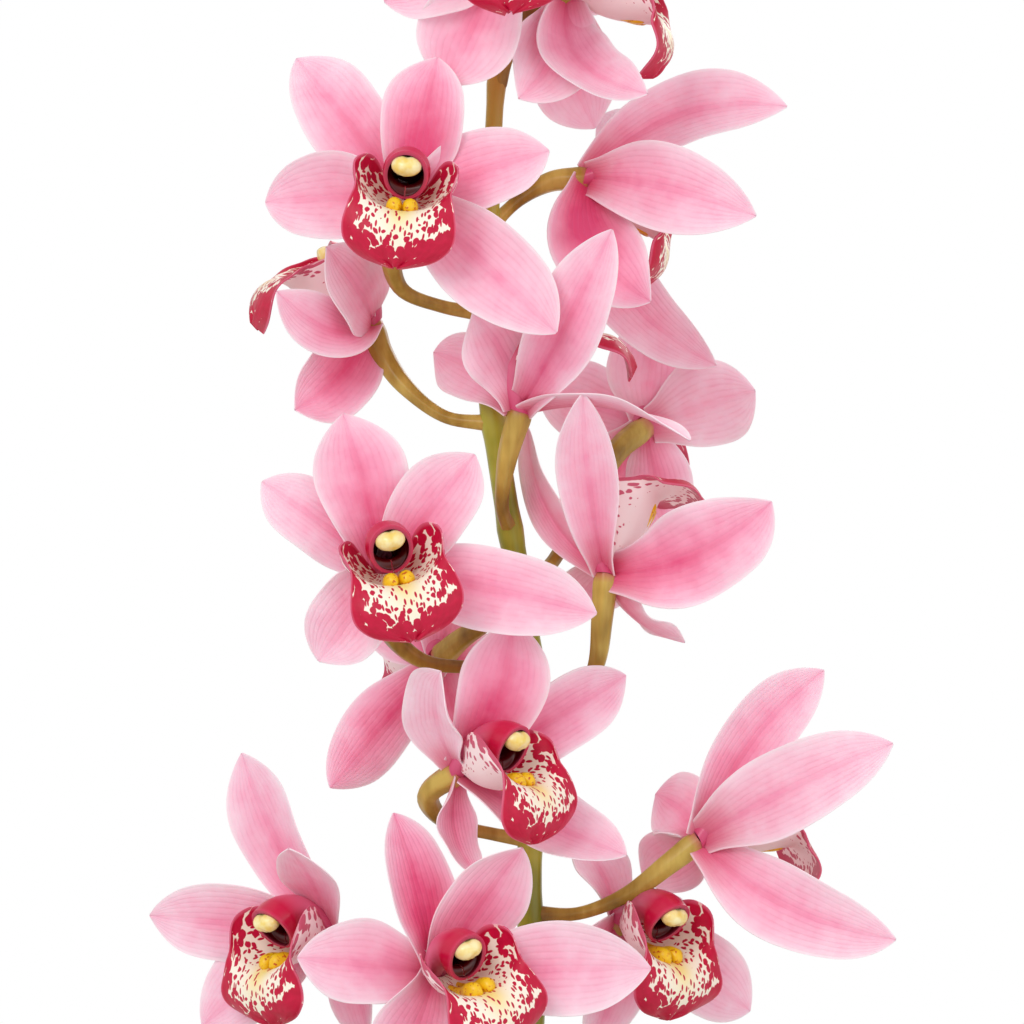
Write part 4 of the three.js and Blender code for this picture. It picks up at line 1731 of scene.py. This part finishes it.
def clasping_sheet(
    centre: Any, radius: Any, low: float, high: float, heading: float, spread: float, flare: float
) -> tuple[Shell, dict]:
    """Shape a papery sheath that clasps a round body and rises to a point.

    Args:
        centre: Gives the body's middle at each height.
        radius: Gives its radius at each height and heading, clearance included.
        low: The sheath's foot height.
        high: The height of its point.
        heading: The way its middle faces, in radians.
        spread: How far round it reaches on each side, in radians.
        flare: How far its point leans out.

    Returns:
        The sheet and the values over its grid.
    """
    rows, columns = 26, 33
    v = np.linspace(0, 1, rows)[:, None]
    u = np.linspace(-1, 1, columns)[None, :]
    tall = (high - low) * (1 - 0.86 * np.abs(u) ** 1.35)
    height = low + v * tall
    turn = heading - u * spread * (1 - 0.12 * v)
    reach = radius(height, turn) + flare * (v * tall / (high - low)) ** 3
    middle = centre(height)
    points = np.stack(
        [middle[..., 0] + reach * np.cos(turn), middle[..., 1] + reach * np.sin(turn), height], axis=-1
    )
    thick = 0.7 * (1 - 0.5 * np.abs(u) ** 3) * np.ones_like(v)
    values = {
        "fold": 0.35 * bump_at(0, 0.06, u) * np.ones_like(v),
        "tip": 0.55 * smoothstep(0.9, 1.0, v) * np.ones_like(u),
    }
    return Shell(points, thick), values


@dataclass(frozen=True)
class Spike:
    """The flower spike's green stem, slightly zigzag, with a swelling where each stalk leaves it."""

    PATH = (
        (6, -5, 135), (9, -5, 220), (8, -2, 330), (6, 0, 440), (5.4, 0, 498), (5.6, 0, 535),
        (6.3, 0, 573), (4, 0, 591), (-1, 0, 621), (-6.6, 0, 657), (-9, 0, 673), (-8, 0, 690),
        (-6.6, 0, 712), (-5, 0, 747), (-3.6, 0, 762), (-1, 1, 780), (0, 0, 800),
    )
    RADII = (
        (135, 6.0),
        (300, 5.4),
        (440, 4.3),
        (500, 3.6),
        (560, 3.5),
        (621, 3.6),
        (680, 3.2),
        (712, 2.7),
        (762, 2.5),
        (800, 2.0),
    )
    BRACTS = (("stem_bract_1", 205, -1.2), ("stem_bract_2", 285, 2.4), ("stem_bract_3", 365, -0.6))
    BRACT_LENGTH = 58.0
    BRACT_GAP = 0.9
    BRACT_SPREAD = 2.2
    BRACT_FLARE = 5.0
    NODE_SWELLING = 0.45
    NODE_SPREAD = 4.0

    def centre(self, height: Any) -> np.ndarray:
        """Give the stem's middle at any heights."""
        path = np.array(self.PATH, float)
        return np.stack([np.interp(height, path[:, 2], path[:, axis]) for axis in range(3)], axis=-1)

    def build(self, finishes: Finishes, nodes: list[float]) -> None:
        """Make the stem and its sheathing bracts.

        Args:
            finishes: The plant's materials.
            nodes: The heights where stalks leave the stem.
        """
        path = path_through(self.PATH, 220)
        radii = read_curve(self.RADII, path[:, 2])
        for height in nodes:
            radii = radii + self.NODE_SWELLING * bump_at(height, self.NODE_SPREAD, path[:, 2])
        settle(
            Tube(path, radii, sides=28, ribs=7, rib_depth=0.02).build("spike_stem", finishes.stem),
            Slot.STEM,
            "flower_stem",
        )
        for name, height, heading in self.BRACTS:
            shell, values = clasping_sheet(
                self.centre,
                lambda z, _turn: read_curve(self.RADII, z.ravel()).reshape(z.shape) + self.BRACT_GAP,
                height,
                height + self.BRACT_LENGTH,
                heading,
                self.BRACT_SPREAD,
                self.BRACT_FLARE,
            )
            settle(shell.build(f"sheathing_{name}", finishes.sheath, values), Slot.BRACT, name)


@dataclass(frozen=True)
class Leaf:
    """A strap leaf: its heading from its fan's, where it leaves the bulb, and how it arches."""

    turn: float
    start: float
    length: float
    reach: float
    top: float
    tip: float

    WIDTH = 21.0
    THICKNESS = 1.3
    STAND = 3.0
    OUTLINE = (
        (0.0, 0.5), (0.06, 0.46), (0.14, 0.56), (0.28, 0.82), (0.45, 0.99), (0.62, 1.0),
        (0.8, 0.8), (0.91, 0.5), (0.97, 0.24), (1.0, 0.03),
    )
    FOLD = ((0.0, 1.5), (0.1, 1.0), (0.3, 0.55), (0.6, 0.38), (1.0, 0.3))
    ROWS = 72
    COLUMNS = 13

    def build(
        self,
        name: str,
        bulb: "Pseudobulb",
        material: bpy.types.Material,
        rng: random.Random,
    ) -> bpy.types.Object:
        """Make the leaf on its bulb.

        Args:
            name: The piece's name.
            bulb: The bulb it grows from.
            material: Its finish.
            rng: The plant's random numbers.

        Returns:
            The leaf.
        """
        heading = math.radians(bulb.fan + bulb.spread * self.turn)
        out = np.array([math.cos(heading), math.sin(heading), 0.0])
        part = float(read_curve(bulb.PROFILE, self.start)[0])
        radius = math.hypot(bulb.half_widths[0] * part * out[0], bulb.half_widths[1] * part * out[1])
        base = np.array([*bulb.foot, bulb.BASE + self.start * bulb.height]) + out * (radius + self.STAND)
        point = lambda away, rise: base + (out * away + UPRIGHT * rise) * self.length
        control = [
            base,
            point(0.04, self.top * 0.75),
            point(self.reach * 0.55, self.top * 1.45),
            point(self.reach, self.tip),
        ]
        v = np.linspace(0, 1, self.ROWS)
        u = np.linspace(-1, 1, self.COLUMNS)
        spine = bezier(control, v)
        along = directions(spine)
        side = np.repeat(np.cross(UPRIGHT, out)[None, :], self.ROWS, 0)
        normal = np.cross(along, side)
        twist = math.radians(rng.uniform(-22, 22)) * smoothstep(0.15, 1.0, v)
        side, normal = (
            side * np.cos(twist)[:, None] + normal * np.sin(twist)[:, None],
            normal * np.cos(twist)[:, None] - side * np.sin(twist)[:, None],
        )
        half = np.maximum(read_curve(self.OUTLINE, v), 0.03) * self.WIDTH / 2
        fold = read_curve(self.FOLD, v)[:, None]
        size = np.abs(u)[None, :]
        slant = np.arctan(fold)
        across = half[:, None] * u[None, :] * np.cos(slant * 0.8)
        lift = half[:, None] * (np.sqrt(size**2 + 0.012) - 0.11) * np.sin(slant)
        lift = lift + 0.35 * np.sin(2 * math.pi * (3.2 * v[:, None] + rng.random())) * size**2
        points = spine[:, None, :] + side[:, None, :] * across[:, :, None] + normal[:, None, :] * lift[:, :, None]
        thick = self.THICKNESS * (1 - 0.5 * v)[:, None] * (1 - 0.6 * size**2)
        values = {
            "fold": 0.55 * bump_at(0, 0.08, u)[None, :] * np.ones((self.ROWS, 1)) + 0.25 * smoothstep(0.12, 0.0, v)[
                :,
                None,
            ],
            "tip": 0.8 * smoothstep(0.965, 1.0, v)[:, None] * np.ones_like(size),
        }
        return Shell(points, thick).build(name, material, values)


@dataclass(frozen=True)
class Pseudobulb:
    """A swollen, ribbed bulb on the mix, wrapped at its foot by old leaf bases."""

    node: str
    foot: tuple[float, float]
    half_widths: tuple[float, float]
    height: float
    fan: float = 0.0
    spread: float = 1.0
    leafy: bool = True

    BASE = 139.0
    SHEATH_SPREAD = 1.75
    SHEATH_FLARE = 1.6
    PROFILE = (
        (0.0, 0.62), (0.14, 0.86), (0.34, 1.0), (0.58, 0.92), (0.78, 0.66), (0.92, 0.36), (1.0, 0.12),
    )
    LEAVES = (
        Leaf(-66, 0.4, 380, 0.54, 0.32, 0.08),
        Leaf(62, 0.4, 400, 0.5, 0.34, 0.14),
        Leaf(-52, 0.64, 430, 0.46, 0.38, 0.26),
        Leaf(54, 0.64, 410, 0.48, 0.38, 0.22),
        Leaf(-30, 0.88, 440, 0.38, 0.39, 0.36),
        Leaf(33, 0.88, 425, 0.34, 0.4, 0.4),
    )

    def radius(self, height: np.ndarray, turn: np.ndarray) -> np.ndarray:
        """Give the bulb's radius.

        Args:
            height: The heights.
            turn: The headings, in radians.

        Returns:
            The radius at each.
        """
        share = np.clip((height - self.BASE) / self.height, 0, 1)
        part = read_curve(self.PROFILE, share.ravel()).reshape(share.shape)
        a, b = self.half_widths
        return part / np.sqrt((np.cos(turn) / a) ** 2 + (np.sin(turn) / b) ** 2)

    def centre(self, height: np.ndarray) -> np.ndarray:
        """Give the bulb's middle at any heights."""
        return np.stack([np.full_like(height, self.foot[0]), np.full_like(height, self.foot[1]), height], axis=-1)

    def build(self, finishes: Finishes, first_leaf: int, rng: random.Random) -> int:
        """Make the bulb, its sheaths and its leaves.

        Args:
            finishes: The plant's materials.
            first_leaf: The number of its first leaf.
            rng: The plant's random numbers.

        Returns:
            The number after its last leaf.
        """
        rows, columns = 40, 72
        share = np.sin(np.linspace(0, math.pi / 2, rows))[:, None]
        turn = np.linspace(0, 2 * math.pi, columns, endpoint=False)[None, :]
        height = self.BASE + share * self.height * np.ones_like(turn)
        reach = self.radius(height, turn) * (1 + 0.014 * np.cos(18 * turn) * np.sin(math.pi * share) ** 0.5)
        middle = self.centre(height)
        points = np.stack([middle[..., 0] + reach * np.cos(turn), middle[..., 1] + reach * np.sin(turn), height], -1)
        bulb = make_piece(f"{self.node}_body", points.reshape(-1, 3), ring_faces(rows, columns), finishes.bulb)
        set_map(bulb, np.stack(np.meshgrid(np.linspace(0, 1, columns), share.ravel()), -1).reshape(-1, 2))
        set_values(bulb, {"fold": 0 * height, "tip": 0.5 * smoothstep(0.94, 1.0, share) * np.ones_like(turn)})
        settle(bulb, Slot.BULB, self.node)
        rises = ((0, 0.66, 0.7), (1, 0.6, 1.5), (2, 0.42, 2.3)) if self.leafy else ((0, 0.5, 0.7), (1, 0.36, 1.5))
        for index, rise, clearance in rises:
            heading = math.radians(self.fan + (58, -62, 180)[index])
            shell, values = clasping_sheet(
                self.centre,
                lambda z, t, gap=clearance: self.radius(z, t) + gap,
                self.BASE + 6,
                self.BASE + rise * self.height + 8,
                heading,
                self.SHEATH_SPREAD,
                self.SHEATH_FLARE,
            )
            settle(shell.build(f"{self.node}_sheath_{index + 1}", finishes.sheath, values), Slot.BRACT)
        if not self.leafy:
            return first_leaf
        for leaf in self.LEAVES:
            number = f"{first_leaf:02d}"
            piece = leaf.build(f"strap_leaf_{number}", self, finishes.leaf, rng)
            settle(piece, Slot.LEAF, f"leaf_{number}")
            first_leaf += 1
        return first_leaf


BULBS = (
    Pseudobulb("pseudobulb_1", (-38, -4), (27, 21), 84, 194, 1.0),
    Pseudobulb("pseudobulb_2", (45, -2), (26, 21), 80, -12, 1.0),
    Pseudobulb("pseudobulb_3", (2, 42), (24, 20), 76, 90, 0.75),
    Pseudobulb("back_bulb", (4, -44), (20, 17), 52, 270, 1.0, leafy=False),
)


@dataclass(frozen=True)
class Pot:
    """A plain tapered stoneware pot with a rolled rim, glazed in and out."""

    height: float = 165.0
    top_radius: float = 90.0
    foot_radius: float = 64.0
    wall: float = 5.0
    floor: float = 8.0
    rim_height: float = 20.0
    overhang: float = 3.0
    segments: int = 144

    def radius(self, height: float) -> float:
        """Give the outer wall's radius at a height."""
        return self.foot_radius + (self.top_radius - self.foot_radius) * height / self.height

    def rounded(self, corners: list[tuple[float, float, float]]) -> list[tuple[float, float]]:
        """Round a profile's corners.

        Args:
            corners: Radius, height and rounding radius of each corner.

        Returns:
            The profile with an arc at each corner.
        """
        profile = []
        for index, (x, z, size) in enumerate(corners):
            here = np.array([x, z])
            if size == 0 or index in (0, len(corners) - 1):
                profile.append((x, z))
                continue
            before = unit(np.array(corners[index - 1][:2]) - here)
            after = unit(np.array(corners[index + 1][:2]) - here)
            arc = bezier([here + before * size, here, here + after * size], np.linspace(0, 1, 7))
            profile.extend((float(p[0]), float(p[1])) for p in arc)
        return profile

    def build(self, finishes: Finishes) -> None:
        """Turn the pot and dress it.

        Args:
            finishes: The plant's materials.
        """
        rim_foot = self.height - self.rim_height
        inner = lambda z: self.radius(z) - self.wall
        corners = [
            (0.0, 0.0, 0.0),
            (self.radius(0) - 0.5, 0.0, 2.2),
            (self.radius(rim_foot), rim_foot, 1.6),
            (self.radius(rim_foot) + self.overhang, rim_foot + 1.0, 1.4),
            (self.radius(self.height) + self.overhang, self.height, 2.6),
            (inner(self.height), self.height, 2.2),
            (inner(self.floor), self.floor, 3.0),
            (0.0, self.floor, 0.0),
        ]
        profile = self.rounded(corners)
        points = lathe_points(profile[1:-1], self.segments)
        faces = ring_faces(len(profile) - 2, self.segments)
        pot = make_piece("glazed_pot_body", points.reshape(-1, 3), faces, finishes.glaze)
        face_out(pot)
        settle(pot, Slot.POT, "pot")


@dataclass(frozen=True)
class BarkMix:
    """The potting mix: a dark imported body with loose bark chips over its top."""

    spacing: float = 4.8
    smallest: tuple[float, float, float] = (6.0, 4.0, 2.4)
    largest: tuple[float, float, float] = (13.0, 8.5, 5.0)
    roughness: float = 2.6
    reach: float = 75.5
    top: float = 147.6
    clearance: float = 2.0
    seed: int = 11

    def ground(self, holes: list[tuple[float, float, float, float]]) -> bpy.types.Object:
        """Make the patch that chips lie on, open under the bulbs and the stem.

        Args:
            holes: Middle and half-widths of each thing that stands in the mix.

        Returns:
            The patch.
        """
        rings, sides = 26, 84
        radii = np.linspace(2, self.reach, rings)
        turn = np.linspace(0, 2 * math.pi, sides, endpoint=False)
        drop = 3.0 * smoothstep(45, 80, radii)
        points = np.stack(
            [
                radii[:, None] * np.cos(turn),
                radii[:, None] * np.sin(turn),
                np.repeat((self.top - drop)[:, None], sides, 1),
            ],
            axis=-1,
        )
        faces = []
        for r in range(rings - 1):
            for i in range(sides):
                j = (i + 1) % sides
                middle = (points[r, i] + points[r + 1, j]) / 2
                if any(math.hypot((middle[0] - x) / a, (middle[1] - y) / b) < 1 for x, y, a, b in holes):
                    continue
                faces.append([r * sides + i, (r + 1) * sides + i, (r + 1) * sides + j, r * sides + j])
        return make_piece("bark_chips", points.reshape(-1, 3), faces, bpy.data.materials["pine_bark"])

    def scatter_tree(self, material: bpy.types.Material) -> tuple[bpy.types.NodeTree, dict[str, str]]:
        """Build the tree that strews chips over a patch.

        Args:
            material: The chips' finish.

        Returns:
            The tree, and the identifier of each named input.
        """
        tree = bpy.data.node_groups.new("strewn_bark", "GeometryNodeTree")
        tree.interface.new_socket("Geometry", in_out="INPUT", socket_type="NodeSocketGeometry")
        sockets = {
            name: tree.interface.new_socket(name, in_out="INPUT", socket_type=kind).identifier
            for name, kind in (
                ("Chip spacing", "NodeSocketFloat"),
                ("Smallest chip", "NodeSocketVector"),
                ("Largest chip", "NodeSocketVector"),
                ("Raggedness", "NodeSocketFloat"),
                ("Seed", "NodeSocketInt"),
            )
        }
        tree.interface.new_socket("Geometry", in_out="OUTPUT", socket_type="NodeSocketGeometry")
        given = add_node(tree, "NodeGroupInput")
        spots = add_node(
            tree,
            "GeometryNodeDistributePointsOnFaces",
            {"distribute_method": "POISSON", "Density Max": 90000.0},
            {
                "Mesh": given.outputs["Geometry"],
                "Distance Min": given.outputs["Chip spacing"],
                "Seed": given.outputs["Seed"],
            },
        )
        chip = add_node(
            tree,
            "GeometryNodeMeshCube",
            {"Size": (1.0, 1.0, 1.0), "Vertices X": 3, "Vertices Y": 3, "Vertices Z": 2},
        )
        lie = add_node(
            tree,
            "FunctionNodeRandomValue",
            {"data_type": "FLOAT_VECTOR", 0: (-0.5, -0.5, -3.14), 1: (0.5, 0.5, 3.14)},
            {"Seed": given.outputs["Seed"]},
        )
        size = add_node(
            tree,
            "FunctionNodeRandomValue",
            {"data_type": "FLOAT_VECTOR"},
            {0: given.outputs["Smallest chip"], 1: given.outputs["Largest chip"], "Seed": given.outputs["Seed"]},
        )
        strewn = add_node(
            tree,
            "GeometryNodeInstanceOnPoints",
            {},
            {
                "Points": spots.outputs["Points"],
                "Instance": chip.outputs["Mesh"],
                "Rotation": lie.outputs[0],
                "Scale": size.outputs[0],
            },
        )
        real = add_node(tree, "GeometryNodeRealizeInstances", {}, {"Geometry": strewn.outputs["Instances"]})
        place = add_node(tree, "GeometryNodeInputPosition")
        ragged = add_node(
            tree, "ShaderNodeTexNoise", {"Scale": 1 / (5 * MM), "Detail": 1.0}, {"Vector": place.outputs["Position"]}
        )
        level = add_node(
            tree, "ShaderNodeVectorMath", {"operation": "SUBTRACT", 1: (0.5, 0.5, 0.5)}, {0: ragged.outputs["Color"]}
        )
        push = add_node(
            tree,
            "ShaderNodeVectorMath",
            {"operation": "SCALE"},
            {0: level.outputs[0], "Scale": given.outputs["Raggedness"]},
        )
        shaped = add_node(
            tree, "GeometryNodeSetPosition", {}, {"Geometry": real.outputs["Geometry"], "Offset": push.outputs[0]}
        )
        dressed = add_node(
            tree, "GeometryNodeSetMaterial", {"Material": material}, {"Geometry": shaped.outputs["Geometry"]}
        )
        add_node(tree, "NodeGroupOutput", {}, {"Geometry": dressed.outputs["Geometry"]})
        return tree, sockets

    def build(self, finishes: Finishes, holes: list[tuple[float, float, float, float]]) -> None:
        """Dress the mix's body and strew its chips.

        Args:
            finishes: The plant's materials.
            holes: Middle and half-widths of each thing that stands in the mix.
        """
        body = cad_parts["potting_mix"]
        body.data.materials.clear()
        body.data.materials.append(finishes.bark)
        chips = self.ground(holes)
        tree, sockets = self.scatter_tree(finishes.bark)
        modifier = chips.modifiers.new("strewn_bark", "NODES")
        modifier.node_group = tree
        modifier[sockets["Chip spacing"]] = self.spacing * MM
        modifier[sockets["Smallest chip"]] = tuple(size * MM for size in self.smallest)
        modifier[sockets["Largest chip"]] = tuple(size * MM for size in self.largest)
        modifier[sockets["Raggedness"]] = self.roughness * MM
        modifier[sockets["Seed"]] = self.seed
        evaluated = chips.evaluated_get(bpy.context.evaluated_depsgraph_get())
        mesh = bpy.data.meshes.new_from_object(evaluated)
        chips.modifiers.remove(modifier)
        chips.data = mesh
        settle(chips, Slot.MIX)


# ------------------------------------------------------------------ studio


@dataclass(frozen=True)
class Studio:
    """A pale floor, soft white light and a long lens level with the flowers."""

    view_height: float = 623.4
    view_width: float = 307.2
    distance: float = 2200.0
    floor_radius: float = 1300.0
    ambient: float = 0.72

    def build(self) -> None:
        """Make the camera, the world, the floor and the lamps."""
        self.camera()
        self.world()
        self.floor()
        self.lamp("key", (-0.9, -1.7, 1.7), 1.1, 15.0)
        self.lamp("fill", (1.5, -1.3, 0.9), 1.4, 6.0)
        self.lamp("back", (0.4, 1.5, 1.5), 1.2, 9.0)

    def camera(self) -> None:
        """Set a long lens level with the spike, looking along +Y."""
        data = bpy.data.cameras.new("camera")
        data.sensor_width = 36.0
        data.lens = 36.0 * self.distance / self.view_width
        data.clip_end = 50.0
        camera = bpy.data.objects.new("camera", data)
        camera.location = (0.0, -self.distance * MM, self.view_height * MM)
        camera.rotation_euler = (math.radians(90), 0.0, 0.0)
        bpy.context.scene.collection.objects.link(camera)
        bpy.context.scene.camera = camera

    def world(self) -> None:
        """Light softly from all round, behind a pure white backdrop."""
        world = bpy.data.worlds.new("white_room")
        world.use_nodes = True
        tree = world.node_tree
        tree.nodes.clear()
        seen = add_node(tree, "ShaderNodeLightPath")
        glow = add_node(
            tree,
            "ShaderNodeMapRange",
            {"To Min": self.ambient, "To Max": 1.0},
            {"Value": seen.outputs["Is Camera Ray"]},
        )
        sky = add_node(tree, "ShaderNodeBackground", {"Color": (1.0, 1.0, 1.0, 1.0)}, {"Strength": glow.outputs[0]})
        add_node(tree, "ShaderNodeOutputWorld", {}, {"Surface": sky.outputs[0]})
        bpy.context.scene.world = world
        bpy.context.scene.view_settings.view_transform = "Standard"

    def floor(self) -> None:
        """Lay a thin pale disc under the pot."""
        material, shader = new_surface("pale_floor", {"Roughness": 0.7})
        shader.inputs["Base Color"].default_value = linear("#f3f1ee")
        points = lathe_points([(self.floor_radius, -6.0), (self.floor_radius, -0.2)], 96)
        make_piece("floor", points.reshape(-1, 3), ring_faces(2, 96), material)

    def lamp(self, name: str, place: tuple[float, float, float], size: float, power: float) -> None:
        """Hang one soft square lamp.

        Args:
            name: The lamp's name.
            place: Where it hangs, in metres.
            size: Its side, in metres.
            power: Its power, in watts.
        """
        data = bpy.data.lights.new(name, "AREA")
        data.size = size
        data.energy = power
        lamp = bpy.data.objects.new(name, data)
        lamp.location = place
        aim = unit(np.array([0.0, 0.0, self.view_height * MM]) - np.array(place))
        lamp.rotation_euler = (math.acos(-aim[2]), 0.0, math.atan2(aim[1], aim[0]) - math.pi / 2)
        bpy.context.scene.collection.objects.link(lamp)


def main() -> None:
    """Build the plant from the pot up."""
    logging.basicConfig(level=logging.INFO, format="%(name)s: %(message)s", stream=sys.stdout)
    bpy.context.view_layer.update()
    Studio().build()
    finishes = Finishes()
    Pot().build(finishes)
    feet = [(*bulb.foot, bulb.half_widths[0] + BULB_ROOM, bulb.half_widths[1] + BULB_ROOM) for bulb in BULBS]
    BarkMix().build(finishes, [*feet, (*STEM_FOOT, STEM_ROOM, STEM_ROOM)])
    rng = random.Random(LEAF_SEED)
    leaf = 1
    for bulb in BULBS:
        leaf = bulb.build(finishes, leaf, rng)
    Spike().build(finishes, [flower.stalk[0][2] for flower in FLOWERS])
    for flower in FLOWERS:
        flower.build(finishes)


if __name__ == "__main__":
    main()
